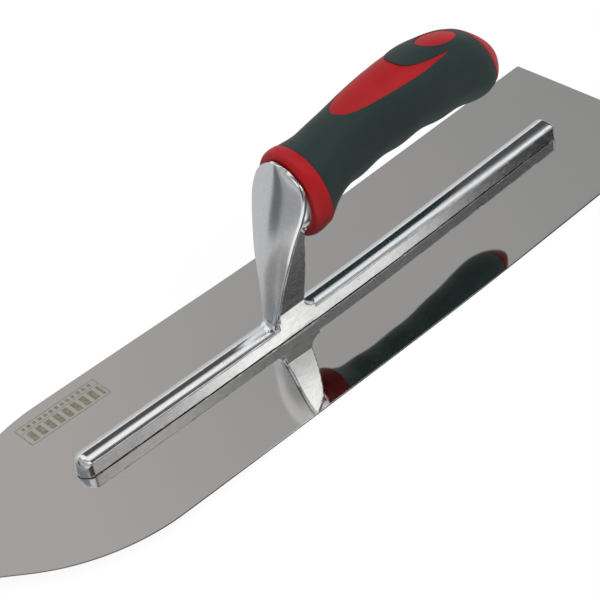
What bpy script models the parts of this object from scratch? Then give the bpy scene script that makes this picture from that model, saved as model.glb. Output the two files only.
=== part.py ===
"""Pointed flooring trowel: an 18 x 4 1/2 inch polished steel blade, a cast
aluminium mounting riveted along its back, and a two-colour soft-grip handle
held on the mounting by a steel tang rod.

Frame: origin at mid-length of the blade, level with its lowest line, +X
towards the pointed nose, +Y to the left, +Z up.  Dimensions are in
millimetres and turned into metres where a mesh is made.
"""
import math

import bmesh
import bpy
import numpy as np
from mathutils import Vector

MM = 0.001
GAP = 0.3                      # clearance left between neighbouring pieces

# ----------------------------------------------------------------- finishes
STEEL = dict(colour=(0.55, 0.54, 0.52), roughness=0.12, metallic=1.0)
ALLOY = dict(colour=(0.72, 0.73, 0.74), roughness=0.22, metallic=1.0)
RED = dict(colour=(0.43, 0.01, 0.02), roughness=0.40, metallic=0.0)
DARK_GRIP = dict(colour=(0.025, 0.037, 0.038), roughness=0.62, metallic=0.0)
ZINC = dict(colour=(0.60, 0.60, 0.58), roughness=0.30, metallic=1.0)

# --------------------------------------------------------- blade dimensions
BLADE_L = 457.0                # 18 in overall
BLADE_W = 114.3                # 4 1/2 in
BLADE_T = 1.0
HEEL_X = -BLADE_L / 2
TIP_X = BLADE_L / 2
HEEL_R = 1.0                   # softened heel corners in plan
NOSE_START = 128.5             # where the straight sides end
NOSE_R = 106.0                 # shoulder radius of the nose
NOSE_FLANK = math.radians(41.3)
TIP_R = 10.0
CAMBER = 0.027                 # slope that each half of the blade tends to
CAMBER_X = -34.4               # lowest line of the camber
CAMBER_SOFT = 39.3             # how gently the two halves meet
FLAT_HALF_L = 7.0              # half length of the flat strip at the lowest line

# ------------------------------------------------------ mounting dimensions
BAR_FRONT = 144.8
BAR_REAR = -188.2
BAR_HALF_W = 6.2
BAR_SIDE_H = 7.9               # vertical side face above the blade
BAR_H = 10.7                   # crown of the bar above the blade
BAR_NOSE_R = BAR_HALF_W        # round front end in plan
BAR_TAIL_R = 2.6               # corner radius of the squarer rear end
BAR_NOSE_DROP = 3.6            # how far the crown falls to each end
BAR_TAIL_DROP = 2.6
BAR_END_ZONE = 16.0            # evenly spaced stations stop this far from each end
BAR_END_STEPS = (0.03, 0.12, 0.28, 0.5, 0.75, 1.0)   # shares of the end radius
# crown of the bar: half width, share of the rise above the side face
BAR_CROWN = [(5.95, 0.32), (5.2, 0.55), (3.9, 0.79), (2.0, 0.95)]

# post front plate: height, half width, x of its edge, bulge of its face
PLATE = [
    (11.5, 4.6, 21.6, 0.8), (16.4, 5.0, 20.2, 1.0), (21.1, 6.3, 18.6, 1.5),
    (27.3, 7.4, 17.2, 2.0), (34.3, 8.8, 15.7, 2.5), (40.7, 10.4, 14.2, 3.1),
    (47.3, 12.0, 12.4, 3.8), (55.7, 13.7, 9.8, 4.5), (64.1, 15.6, 7.1, 5.2),
    (72.5, 17.5, 3.6, 5.8), (79.0, 18.1, 0.9, 6.0), (84.0, 17.2, -0.9, 5.6),
    (88.0, 15.3, -1.3, 4.9), (90.0, 13.6, -1.6, 4.3), (91.8, 11.5, -1.8, 3.6),
    (93.4, 9.3, -1.8, 2.9), (94.9, 6.9, -1.6, 2.1), (96.3, 4.8, -1.2, 1.4),
    (97.4, 3.0, -0.7, 0.9), (98.2, 1.2, -0.1, 0.4),
]
PLATE_T = 2.4
PLATE_EDGE_T = 1.2             # thickness that a plate of no width would have
PLATE_TAPER = 8                # half width over added thickness, where narrow
PLATE_BACK_W = 0.93            # width of the plate's back, as a share of its front
PLATE_BACK = -3.6              # the plate ends ahead of the collar
PLATE_STEPS = 10               # facets across the plate's face

# post web: height, half width, x of its rear face; the side face is coplanar
# with the bar up to the second row
WEB = [
    (3.0, BAR_HALF_W, 0.6), (17.7, BAR_HALF_W, 0.6), (34.0, 7.9, -1.6),
    (47.0, 9.6, -2.6), (60.0, 11.4, -3.2), (74.0, 12.6, -3.4),
]
WEB_INSET = 0.9                # front of the web behind the plate's edge
WEB_FRONT = 18.4               # the web reaches no further forward than this

# boss that carries the handle: x, centre height, half height, half width
BOSS = [
    (3.4, 76.0, 13.0, 12.0), (-0.8, 75.6, 18.4, 15.6), (-4.5, 75.0, 19.5, 16.5),
    (-12.0, 75.4, 19.5, 16.5),
]
BOSS_SIDES = 32
SOCKET_FRONT = 0.0             # front end of the handle's socket for the boss

# -------------------------------------------------------- rivet dimensions
RIVET_X = [132.0, 84.0, 36.0, -12.0, -66.0, -121.0, -176.0]
RIVET_HEAD_R = 6.4 / 2
RIVET_SHANK_R = 4.0 / 2
RIVET_L = 7.6
RIVET_SIDES = 20
# profiles of a rivet and its hole: radius, distance up from the blade's underside
RIVET_PROFILE = [
    (RIVET_HEAD_R, 0.04), (RIVET_HEAD_R, 0.25),
    (RIVET_SHANK_R, 0.95), (RIVET_SHANK_R, RIVET_L),
]
RIVET_HOLE_PROFILE = [
    (RIVET_HEAD_R + GAP, -1.0), (RIVET_HEAD_R + GAP, 0.30),
    (RIVET_SHANK_R + GAP, 0.99), (RIVET_SHANK_R + GAP, RIVET_L + GAP),
]

# ------------------------------------------------------- handle dimensions
GRIP_FRONT = -15.5
CAP_X = -136.9                 # centre of the joint between grip and end cap
HANDLE_REAR = -151.3
SKIN = 3.0                     # thickness of the soft overmould
SECTION_N = 2.25               # squareness of the handle's sections; 2 is an ellipse

WAVE = 0.8                     # finger waves under the grip
WAVE_PITCH = 27.4
WAVE_CREST = -44.0
WAVE_FRONT, WAVE_FRONT_FADE = -22.0, 14.0   # where the waves end, length of fade
WAVE_REAR, WAVE_REAR_FADE = -134.0, 12.0

# handle: x, centre height, half height, half width, forward lean in degrees
HANDLE = [
    (GRIP_FRONT, 76.8, 23.0, 19.6, 8.5), (-24.5, 80.2, 19.6, 17.1, 6.0),
    (-33.5, 83.1, 18.8, 16.2, 4.0), (-43.5, 84.9, 19.1, 16.1, 2.0),
    (-55.5, 86.8, 19.9, 16.5, 0.0), (-68.5, 88.3, 20.6, 16.9, 0.0),
    (-81.5, 89.0, 21.2, 17.5, 0.0), (-94.5, 88.9, 21.4, 18.0, 0.0),
    (-107.5, 87.6, 21.4, 18.3, 2.0), (-120.5, 85.4, 21.3, 18.6, 6.5),
    (-131.5, 83.2, 20.3, 18.0, 11.5), (CAP_X, 82.6, 18.2, 16.2, 12.6),
    (-143.0, 80.6, 13.6, 12.2, 10.0), (-147.2, 78.4, 9.0, 8.1, 6.0),
    (-149.8, 76.9, 5.0, 4.6, 3.0), (HANDLE_REAR, 76.2, 1.8, 1.7, 2.0),
]
# collar, with the same columns
COLLAR = [
    (-4.6, 75.2, 21.0, 18.0, 1.7), (-5.1, 75.3, 22.2, 19.2, 2.2),
    (-7.4, 75.7, 23.5, 20.3, 3.8), (-11.2, 76.3, 23.8, 20.4, 6.2),
    (GRIP_FRONT + GAP, 76.8, 23.3, 19.9, 8.5),
]

# x of the sections that each handle piece is lofted through
GRIP_STATIONS = [
    GRIP_FRONT, -17.5, -20.5, -24.5, -29.0, *np.arange(-34.0, -132.0, -4.45),
    -134.0, CAP_X,
]
INNER_STATIONS = [
    -13.0, -20.0, -27.0, -35.0, -45.0, -56.0, -68.0, -81.0, -94.0, -107.0,
    -119.0, -129.0,
]
BORE_STATIONS = INNER_STATIONS + [-136.0, -140.0]
CORE_STATIONS = INNER_STATIONS + [CAP_X + 1.2]
LAND_STATIONS = np.arange(-36.0, -131.0, -4.7)
CAP_STATIONS = [
    CAP_X - GAP, -139.0, -141.2, -143.4, -145.6, -147.6, -149.2, -150.4,
    HANDLE_REAR,
]

# red inlay on the crown of the handle: x, outer half width
INLAY_OUTER = [
    (-40.4, 0.0), (-40.9, 1.9), (-42.2, 4.2), (-44.3, 6.1), (-49.0, 8.3),
    (-54.5, 9.7), (-61.5, 11.0), (-70.0, 12.1), (-79.0, 13.0), (-87.0, 13.4),
    (-93.0, 13.4), (-98.8, 13.0), (-104.6, 12.3), (-108.6, 11.7), (-111.4, 11.3),
]
# edge of the dark tongue that runs forward into the inlay: x, half width
TONGUE = [
    (-111.4, 11.2), (-107.0, 11.0), (-103.0, 11.0), (-98.2, 10.8),
    (-93.4, 10.2), (-88.6, 9.2), (-84.4, 7.4), (-82.1, 4.6), (-81.4, 0.0),
]
LAND_OUTER_REAR = -109.0       # the land drops the inlay's points behind these
LAND_TONGUE_REAR = -105.0
OVAL_X = -113.0                # red oval behind the inlay
OVAL_HALF_L, OVAL_HALF_W = 13.0, 7.1
OVAL_SIDES = 28
WINDOW_BOTTOM, LAND_BOTTOM, PLAN_TOP = 92.0, 98.0, 124.0
LAND_INSET = 0.12              # lands lie this far below the grip's surface

# ------------------------------------------- tang rod and fastening dimensions
ROD_D = 8.0
ROD_FRONT = Vector((1.0, 0.0, 76.6))      # end inside the casting
ROD_REAR = Vector((-131.5, 0.0, 82.2))    # end inside the handle
ROD_L = (ROD_REAR - ROD_FRONT).length
ROD_AXIS = (ROD_REAR - ROD_FRONT).normalized()
ROD_SIDES = 28
ROD_HOLE_R = ROD_D / 2 + GAP
WASHER_D, WASHER_T = 16.0, 1.6
NUT_ACROSS_FLATS, NUT_H = 13.0, 6.5
SEAT = ROD_L - 12.0            # distance along the rod of the washer's seat
POCKET_R = 9.4                 # pocket round washer and nut
SPIGOT_R, RECESS_R = 9.0, 6.0  # end cap's spigot and the recess inside it


# -------------------------------------------------------------------- scene
def clear_scene():
    for obj in list(bpy.data.objects):
        bpy.data.objects.remove(obj, do_unlink=True)
    for block in (bpy.data.meshes, bpy.data.materials, bpy.data.curves):
        for item in list(block):
            block.remove(item)


def new_collection(name):
    collection = bpy.data.collections.new(name)
    bpy.context.scene.collection.children.link(collection)
    return collection


clear_scene()
PARTS = new_collection("flooring_trowel")
CUTTERS = new_collection("cutters")
ROOT = bpy.data.objects.new("trowel_root", None)
ROOT.empty_display_size = 0.05
PARTS.objects.link(ROOT)


# ------------------------------------------------------------------ helpers
def material(name, colour, roughness, metallic):
    mat = bpy.data.materials.new(name)
    mat.use_nodes = True
    inputs = mat.node_tree.nodes["Principled BSDF"].inputs
    inputs["Base Color"].default_value = (*colour, 1.0)
    inputs["Roughness"].default_value = roughness
    inputs["Metallic"].default_value = metallic
    return mat


def object_from(bm, name, finish, sharp_degrees):
    """Turn a bmesh into a piece with its own material, or, with no finish,
    into a hidden form that only serves booleans."""
    mesh = bpy.data.meshes.new(name)
    bm.to_mesh(mesh)
    bm.free()
    mesh.shade_smooth()
    mesh.set_sharp_from_angle(angle=math.radians(sharp_degrees))
    obj = bpy.data.objects.new(name, mesh)
    if finish:
        PARTS.objects.link(obj)
        obj.parent = ROOT
        mesh.materials.append(material(f"{name}_finish", **finish))
    else:
        CUTTERS.objects.link(obj)
        obj.hide_render = True
        obj.display_type = "WIRE"
    return obj


def loft(name, rings, finish=None, sharp_degrees=40):
    """A closed solid through rings of points that share one count."""
    bm = bmesh.new()
    rows = [[bm.verts.new(Vector(point) * MM) for point in ring] for ring in rings]
    count = len(rows[0])
    for row, following in zip(rows[:-1], rows[1:]):
        for i in range(count):
            j = (i + 1) % count
            bm.faces.new((row[i], row[j], following[j], following[i]))
    bm.faces.new(list(reversed(rows[0])))
    bm.faces.new(rows[-1])
    bmesh.ops.recalc_face_normals(bm, faces=bm.faces)
    return object_from(bm, name, finish, sharp_degrees)


def prism(name, outline, bottom, top):
    return loft(name, [[(x, y, z) for x, y in outline] for z in (bottom, top)])


def on_rod(distance):
    """A point on the tang rod's axis, measured from its front end."""
    return ROD_FRONT + ROD_AXIS * distance


def rod_cylinder(name, start, end, radius, finish=None, sides=32):
    """A cylinder on the rod's axis between two distances along it."""
    front, rear = on_rod(start), on_rod(end)
    axis = rear - front
    bm = bmesh.new()
    bmesh.ops.create_cone(
        bm, cap_ends=True, segments=sides, radius1=radius * MM,
        radius2=radius * MM, depth=axis.length * MM,
    )
    obj = object_from(bm, name, finish, sharp_degrees=40)
    obj.rotation_mode = "QUATERNION"
    obj.rotation_quaternion = Vector((0, 0, 1)).rotation_difference(axis)
    obj.location = (front + rear) / 2 * MM
    return obj


def boolean(obj, other, operation):
    mod = obj.modifiers.new(f"{operation.lower()}_{other.name}", "BOOLEAN")
    mod.operation = operation
    mod.solver = "EXACT"
    mod.object = other


def curve_through(table, column):
    """Smooth (Hermite) interpolation of one column of a table against its first."""
    xs, ys = np.array(sorted((row[0], row[column]) for row in table)).T
    slopes = np.gradient(ys, xs)

    def value(x):
        x = min(max(x, xs[0]), xs[-1])
        i = int(min(max(np.searchsorted(xs, x) - 1, 0), len(xs) - 2))
        span = xs[i + 1] - xs[i]
        t = (x - xs[i]) / span
        return (
            ys[i] * (2 * t**3 - 3 * t**2 + 1)
            + slopes[i] * span * (t**3 - 2 * t**2 + t)
            + ys[i + 1] * (3 * t**2 - 2 * t**3)
            + slopes[i + 1] * span * (t**3 - t**2)
        )

    return value


def round_off(t):
    """Fall of a quarter circle of radius 1: 1 at t = 0, none from t = 1 on."""
    return 1 - math.sqrt(1 - (1 - min(t, 1)) ** 2)


def oval_ring(x, centre_z, half_h, half_w, lean=0.0, squareness=2.0, count=28, wave=0.0):
    """A superellipse across the handle; wave lifts its lower half."""
    lean = math.radians(lean)
    ring = []
    for i in range(count):
        angle = 2 * math.pi * i / count
        cosine, sine = math.cos(angle), math.sin(angle)
        across = math.copysign(abs(cosine) ** (2 / squareness), cosine)
        rise = math.copysign(abs(sine) ** (2 / squareness), sine)
        up = half_h * rise + wave * max(-rise, 0) ** 0.8
        ring.append((
            x + math.sin(lean) * up, half_w * across, centre_z + math.cos(lean) * up,
        ))
    return ring


# -------------------------------------------------------------------- blade
def camber(x):
    return CAMBER * (math.hypot(x - CAMBER_X, CAMBER_SOFT) - CAMBER_SOFT)


def blade_underside(x):
    """The camber, with a flat strip at its lowest line."""
    return camber(x) if abs(x - CAMBER_X) > FLAT_HALF_L else 0.0


def blade_half_width(x):
    """Half width of the blade's plan: straight sides, shoulder, flank, tip."""
    if x <= NOSE_START:
        return BLADE_W / 2 - HEEL_R * round_off((x - HEEL_X) / HEEL_R)
    shoulder_end = NOSE_START + NOSE_R * math.sin(NOSE_FLANK)
    if x <= shoulder_end:
        return BLADE_W / 2 - NOSE_R + math.sqrt(NOSE_R**2 - (x - NOSE_START) ** 2)
    tip_centre = TIP_X - TIP_R
    if x > tip_centre + TIP_R * math.sin(NOSE_FLANK) * 0.999:
        return math.sqrt(max(TIP_R**2 - (x - tip_centre) ** 2, 0.0))
    flank_start_y = BLADE_W / 2 - NOSE_R * (1 - math.cos(NOSE_FLANK))
    return flank_start_y - (x - shoulder_end) * math.tan(NOSE_FLANK)


def build_blade():
    """A cambered sheet lofted along its length."""
    stations = [
        HEEL_X, HEEL_X + 0.25, HEEL_X + HEEL_R,
        *np.linspace(HEEL_X + 8, CAMBER_X - FLAT_HALF_L, 20),
        *np.linspace(CAMBER_X + FLAT_HALF_L, NOSE_START, 17),
        *np.linspace(NOSE_START + 6, TIP_X - 5.0, 16),
        *(TIP_X - back for back in (3.2, 2.0, 1.0, 0.35, 0.04)),
    ]
    rings = []
    for x in stations:
        half_w = blade_half_width(x)
        z = blade_underside(x)
        across = (-half_w, -half_w / 3, half_w / 3, half_w)
        rings.append(
            [(x, y, z) for y in across]
            + [(x, y, z + BLADE_T) for y in reversed(across)]
        )
    return loft("blade", rings, STEEL)


# ----------------------------------------------------------------- mounting
def bar_ring(x, half_w, height):
    """Section of the bar: straight sides, then a crowned top."""
    base = blade_underside(x) + BLADE_T + GAP
    rise = height - BAR_SIDE_H
    half = [(half_w, 0.0), (half_w, BAR_SIDE_H)]
    half += [
        (y * half_w / BAR_HALF_W, BAR_SIDE_H + share * rise)
        for y, share in BAR_CROWN
    ]
    half.append((0.0, height))
    mirrored = [(-y, z) for y, z in reversed(half[:-1])]
    return [(x, y, base + z) for y, z in half + mirrored]


def bar_end_ring(end_x, direction, t, radius, drop):
    """Section at share t of the end radius in from one end of the bar."""
    return bar_ring(
        end_x + direction * radius * t,
        BAR_HALF_W - radius * round_off(t),
        BAR_H - drop * round_off(t * 1.3),
    )


def build_bar():
    middle = [
        *np.linspace(BAR_REAR + BAR_END_ZONE, CAMBER_X - FLAT_HALF_L, 15),
        *np.linspace(CAMBER_X + FLAT_HALF_L, BAR_FRONT - BAR_END_ZONE, 17),
    ]
    rings = [bar_end_ring(BAR_REAR, 1, t, BAR_TAIL_R, BAR_TAIL_DROP) for t in BAR_END_STEPS]
    rings += [bar_ring(x, BAR_HALF_W, BAR_H) for x in middle]
    rings += [
        bar_end_ring(BAR_FRONT, -1, t, BAR_NOSE_R, BAR_NOSE_DROP)
        for t in reversed(BAR_END_STEPS)
    ]
    return loft("mounting_casting", rings, ALLOY, sharp_degrees=35)


def post_web():
    plate_edge = curve_through(PLATE, 2)
    rings = []
    for z, half_w, rear in WEB:
        front = min(plate_edge(z) - WEB_INSET, WEB_FRONT)
        rings.append([
            (front, -half_w, z), (front, half_w, z), (rear, half_w, z), (rear, -half_w, z),
        ])
    return loft("post_web_form", rings)


def post_plate():
    """The post's spoon-shaped front plate, lofted up its height."""
    rings = []
    for z, half_w, edge_x, bulge in PLATE:
        ring = []
        for i in range(PLATE_STEPS + 1):
            across = -1 + 2 * i / PLATE_STEPS
            ring.append((edge_x + bulge * (1 - across * across), half_w * across, z))
        thickness = min(PLATE_T, PLATE_EDGE_T + half_w / PLATE_TAPER)
        back = max(edge_x - thickness, PLATE_BACK)
        ring += [(back, PLATE_BACK_W * half_w, z), (back, -PLATE_BACK_W * half_w, z)]
        rings.append(ring)
    return loft("post_plate_form", rings)


def post_boss():
    return loft("post_boss_form", [oval_ring(*row, count=BOSS_SIDES) for row in BOSS])


def build_casting():
    casting = build_bar()
    for form in (post_web(), post_plate(), post_boss()):
        boolean(casting, form, "UNION")
    boolean(casting, rod_cylinder("rod_socket", -GAP, 40, ROD_HOLE_R), "DIFFERENCE")
    return casting


# ------------------------------------------------------------------- rivets
def rivet_form(name, x, profile, finish=None):
    """A turned shape standing square to the camber at x."""
    slope = CAMBER * (x - CAMBER_X) / math.hypot(x - CAMBER_X, CAMBER_SOFT)
    tilt = math.atan(slope)
    axis = Vector((-math.sin(tilt), 0, math.cos(tilt)))
    foot = Vector((x, 0, camber(x)))
    left = Vector((0, 1, 0))
    side = axis.cross(left).normalized()
    angles = [2 * math.pi * i / RIVET_SIDES for i in range(RIVET_SIDES)]
    rings = [
        [
            foot + axis * distance
            + side * (radius * math.cos(angle)) + left * (radius * math.sin(angle))
            for angle in angles
        ]
        for radius, distance in profile
    ]
    return loft(name, rings, finish)


def build_rivets(blade, casting):
    """Flush countersunk heads in the blade, plain shanks in blind holes of the bar."""
    for number, x in enumerate(RIVET_X, 1):
        rivet_form(f"blade_rivet_{number}", x, RIVET_PROFILE, STEEL)
        hole = rivet_form(f"rivet_hole_{number}", x, RIVET_HOLE_PROFILE)
        boolean(blade, hole, "DIFFERENCE")
        boolean(casting, hole, "DIFFERENCE")


# ------------------------------------------------------------------- handle
HANDLE_CURVES = [curve_through(HANDLE, column) for column in (1, 2, 3, 4)]


def finger_wave(x):
    """Soft waves under the grip; they fade out towards both ends."""
    front_fade = min(max((WAVE_FRONT - x) / WAVE_FRONT_FADE, 0.0), 1.0)
    rear_fade = min(max((x - WAVE_REAR) / WAVE_REAR_FADE, 0.0), 1.0)
    phase = 2 * math.pi * (x - WAVE_CREST) / WAVE_PITCH
    return -WAVE * front_fade * rear_fade * math.cos(phase)


def handle_rings(stations, inset, count, waves=False):
    rings = []
    for x in stations:
        centre_z, half_h, half_w, lean = (curve(x) for curve in HANDLE_CURVES)
        rings.append(oval_ring(
            x, centre_z, half_h - inset, half_w - inset, lean, SECTION_N, count,
            finger_wave(x) if waves else 0.0,
        ))
    return rings


def inlay_outline(shrink):
    """Plan of the red inlay: a teardrop with the dark tongue cut into it."""
    outer = [
        (x - shrink * (1 if y < 3 else 0.4), max(y - shrink, 0.0))
        for x, y in INLAY_OUTER
    ]
    inner = [
        (x + shrink * (1 if y < 8 else 0.2), y + (shrink if y >= 7 else 0.0))
        for x, y in TONGUE
    ]
    if shrink:
        outer = [point for point in outer if point[0] > LAND_OUTER_REAR]
        inner = [point for point in inner if point[0] > LAND_TONGUE_REAR]
    half = outer + inner
    return half + [(x, -y) for x, y in reversed(half[1:-1])]


def oval_outline(shrink):
    angles = [2 * math.pi * i / OVAL_SIDES for i in range(OVAL_SIDES)]
    return [
        (
            OVAL_X + (OVAL_HALF_L - shrink) * math.cos(angle),
            (OVAL_HALF_W - shrink) * math.sin(angle),
        )
        for angle in angles
    ]


OUTLINES = {"inlay": inlay_outline, "oval": oval_outline}


def build_grip():
    """The dark overmould, with windows for the red inlay and oval."""
    grip = loft("soft_grip", handle_rings(GRIP_STATIONS, 0.0, 28, waves=True), DARK_GRIP)
    bore = loft("grip_bore", handle_rings(BORE_STATIONS, SKIN - GAP, 24))
    boolean(grip, bore, "DIFFERENCE")
    for label, outline in OUTLINES.items():
        window = prism(f"{label}_window", outline(0.0), WINDOW_BOTTOM, PLAN_TOP)
        boolean(grip, window, "DIFFERENCE")


def core_land(label, outline):
    """A raised land of the core that fills one window of the grip."""
    land = loft(f"{label}_land_form", handle_rings(LAND_STATIONS, LAND_INSET, 40))
    plan = prism(f"{label}_land_plan", outline(GAP), LAND_BOTTOM, PLAN_TOP)
    boolean(land, plan, "INTERSECT")
    return land


def boss_socket():
    """The straight rear of the boss with clearance, open to the front."""
    straight, rear = BOSS[-2:]
    rows = [(SOCKET_FRONT, *straight[1:]), straight, (rear[0] - GAP, *rear[1:])]
    return loft("boss_socket", [
        oval_ring(x, centre_z, half_h + GAP, half_w + GAP, count=BOSS_SIDES)
        for x, centre_z, half_h, half_w in rows
    ])


def build_core():
    """The red core with its collar and lands, bored for boss, rod and nut."""
    core = loft("handle_core", handle_rings(CORE_STATIONS, SKIN, 24), RED)
    collar = loft("collar_form", [oval_ring(*row, SECTION_N, 36) for row in COLLAR])
    boolean(core, collar, "UNION")
    for label, outline in OUTLINES.items():
        boolean(core, core_land(label, outline), "UNION")
    boolean(core, boss_socket(), "DIFFERENCE")
    boolean(core, rod_cylinder("rod_bore", 5, 150, ROD_HOLE_R), "DIFFERENCE")
    boolean(core, rod_cylinder("nut_pocket", SEAT, ROD_L + 30, POCKET_R), "DIFFERENCE")


def build_end_cap():
    cap = loft("end_cap", handle_rings(CAP_STATIONS, 0.0, 32), RED)
    spigot = rod_cylinder("cap_spigot_form", ROD_L - 1.6, ROD_L + 9, SPIGOT_R)
    boolean(cap, spigot, "UNION")
    recess = rod_cylinder("cap_recess", ROD_L - 8, ROD_L + 4.0, RECESS_R)
    boolean(cap, recess, "DIFFERENCE")


# ------------------------------------------------- tang rod, washer and nut
def ringed(name, start, thickness, radius, sides):
    """A washer or a nut: a plate with a clearance hole on the rod's axis."""
    end = start + thickness
    body = rod_cylinder(name, start, end, radius, ZINC, sides)
    hole = rod_cylinder(f"{name}_hole", start - 3, end + 3, ROD_HOLE_R, sides=ROD_SIDES)
    boolean(body, hole, "DIFFERENCE")
    return body


def build_fastening():
    rod_cylinder("tang_rod", 0, ROD_L, ROD_D / 2, ZINC, ROD_SIDES)
    ringed("handle_washer", SEAT + GAP, WASHER_T, WASHER_D / 2, sides=32)
    corner_radius = NUT_ACROSS_FLATS / math.sqrt(3)
    nut = ringed("handle_nut", SEAT + 2 * GAP + WASHER_T, NUT_H, corner_radius, sides=6)
    nut.data.shade_flat()


# -------------------------------------------------------------------- build
build_rivets(build_blade(), build_casting())
build_grip()
build_core()
build_fastening()
build_end_cap()
bpy.context.view_layer.update()
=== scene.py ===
"""Looks for the pointed flooring trowel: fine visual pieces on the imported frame,
procedural finishes, a pale floor, soft studio light and the camera.

All shapes are written in millimetres in the row frame and scaled to metres.
"""

import math

import bmesh
import bpy
import numpy as np
from mathutils import Matrix, Vector


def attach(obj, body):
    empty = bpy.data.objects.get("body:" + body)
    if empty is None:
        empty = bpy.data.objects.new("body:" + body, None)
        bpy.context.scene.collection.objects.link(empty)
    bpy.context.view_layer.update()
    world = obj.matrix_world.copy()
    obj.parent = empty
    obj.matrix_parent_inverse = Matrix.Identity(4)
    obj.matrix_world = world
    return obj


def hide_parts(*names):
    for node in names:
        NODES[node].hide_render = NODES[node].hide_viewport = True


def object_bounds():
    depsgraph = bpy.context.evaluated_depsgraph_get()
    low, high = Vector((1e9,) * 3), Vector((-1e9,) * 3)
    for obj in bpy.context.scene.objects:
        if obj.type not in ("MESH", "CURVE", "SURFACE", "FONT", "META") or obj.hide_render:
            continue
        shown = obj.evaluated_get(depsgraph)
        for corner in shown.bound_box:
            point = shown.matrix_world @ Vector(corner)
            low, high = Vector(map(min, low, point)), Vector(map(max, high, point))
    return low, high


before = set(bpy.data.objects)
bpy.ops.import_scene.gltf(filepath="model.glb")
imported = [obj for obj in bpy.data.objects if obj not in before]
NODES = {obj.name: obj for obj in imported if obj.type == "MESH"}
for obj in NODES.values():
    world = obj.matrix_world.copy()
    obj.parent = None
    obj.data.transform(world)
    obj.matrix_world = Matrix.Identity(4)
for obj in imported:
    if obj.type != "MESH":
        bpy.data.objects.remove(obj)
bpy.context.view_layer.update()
SCENE = bpy.context.scene
MM = 0.001

# ---------------------------------------------------------------- dimensions
BLADE_L, BLADE_W, BLADE_T = 457.0, 114.3, 1.0
SHEET_T, WAIST = 0.85, 0.6                # visual sheet; its sides draw in slightly mid-length
HEEL_X = -BLADE_L / 2
NOSE_START, NOSE_R, NOSE_FLANK, TIP_R = 128.5, 106.0, math.radians(41.3), 10.0
CAMBER, CAMBER_X, CAMBER_SOFT = 0.027, -34.4, 39.3
ROLL, ROLL_START, ROLL_SHARE = 7.2e-4, 15.0, 0.12   # polished roll-off to the long edges
FIT = 0.08                                # gap shown between touching pieces
SEAT = 0.28                               # gap shown under the bar

BAR_FRONT, BAR_REAR = 145.4, -188.4
BAR_W, BAR_SIDE = 6.2, 7.5
NOSE_DROP = 4.0                           # domed front end
DRAFT = 0.05                              # moulding draft of the flat sides

SKIN, WAVE, WAVE_PITCH, WAVE_CREST = 3.0, 0.8, 27.4, -44.0
GRIP_FRONT, CAP_X = -15.5, -136.9
ROD_D = 8.0
ROD_A, ROD_B = np.array([1.0, 0.0, 76.6]), np.array([-131.5, 0.0, 82.2])
RIVET_X = [132.0, 84.0, 36.0, -12.0, -66.0, -121.0, -176.0]
SECTION_N = 2.25

PLATE = [
    (11.5, 4.8, 21.6, 0.8), (16.4, 5.4, 20.2, 1.0), (21.1, 6.4, 18.6, 1.5),
    (27.3, 7.5, 17.2, 2.0), (34.3, 8.8, 15.7, 2.5), (40.7, 10.4, 14.2, 3.1),
    (47.3, 12.0, 12.4, 3.8), (55.7, 13.7, 9.8, 4.5), (64.1, 15.6, 7.1, 5.2),
    (72.5, 17.5, 3.6, 5.8), (79.0, 18.1, 0.9, 6.0), (84.0, 17.2, -0.9, 5.6),
    (88.0, 15.3, -1.3, 4.9), (90.0, 13.6, -1.6, 4.3), (91.8, 11.5, -1.8, 3.6),
    (93.4, 9.3, -1.8, 2.9), (94.9, 6.9, -1.6, 2.1), (96.3, 4.8, -1.2, 1.4),
    (97.4, 3.0, -0.7, 0.9), (98.2, 1.2, -0.1, 0.4),
]
PLATE_T, PLATE_BACK = 2.4, -3.6
CREASE_Z = 17.7
WEB_TOP_W = 12.6
HEEL_R, HEEL_Z = 6.0, 11.0                # fillet behind the web's foot
TOE_R, TOE_Z = 2.6, 12.2                  # and in front of it
WEB = [
    (HEEL_Z + HEEL_R, 0.6), (34.0, -1.6), (47.0, -2.6), (60.0, -3.2), (76.0, -3.4),
]
BOSS = [
    (3.4, 76.0, 13.0, 12.0), (-0.8, 75.6, 18.4, 15.6), (-4.5, 75.0, 19.5, 16.5),
    (-12.0, 75.4, 19.5, 16.5),
]
HANDLE = [
    (-15.5, 76.8, 23.0, 19.6, 8.5), (-24.5, 80.2, 19.6, 17.1, 6.0),
    (-33.5, 83.1, 18.8, 16.2, 4.0), (-43.5, 84.9, 19.1, 16.1, 2.0),
    (-55.5, 86.8, 19.9, 16.5, 0.0), (-68.5, 88.3, 20.6, 16.9, 0.0),
    (-81.5, 89.0, 21.2, 17.5, 0.0), (-94.5, 88.9, 21.4, 18.0, 0.0),
    (-107.5, 87.6, 21.4, 18.3, 2.0), (-120.5, 85.4, 21.3, 18.6, 6.5),
    (-131.5, 83.2, 20.3, 18.0, 11.5), (-136.9, 82.6, 18.2, 16.2, 12.6),
    (-143.0, 80.6, 13.6, 12.2, 10.0), (-147.2, 78.4, 9.0, 8.1, 6.0),
    (-149.8, 76.9, 5.0, 4.6, 3.0), (-151.3, 76.2, 1.8, 1.7, 2.0),
]
COLLAR = [
    (-4.6, 75.2, 21.0, 18.0, 1.7), (-5.1, 75.3, 22.2, 19.2, 2.2),
    (-7.4, 75.7, 23.5, 20.3, 3.8), (-11.2, 76.3, 23.8, 20.4, 6.2),
    (-15.2, 76.8, 23.3, 19.9, 8.5),
]
INLAY_OUTER = [
    (-40.4, 0.0), (-40.9, 1.9), (-42.2, 4.2), (-44.3, 6.1), (-49.0, 8.3),
    (-54.5, 9.7), (-61.5, 11.0), (-70.0, 12.1), (-79.0, 13.0), (-87.0, 13.4),
    (-93.0, 13.4), (-98.8, 13.0), (-104.6, 12.3), (-108.6, 11.7), (-111.4, 11.3),
]
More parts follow.
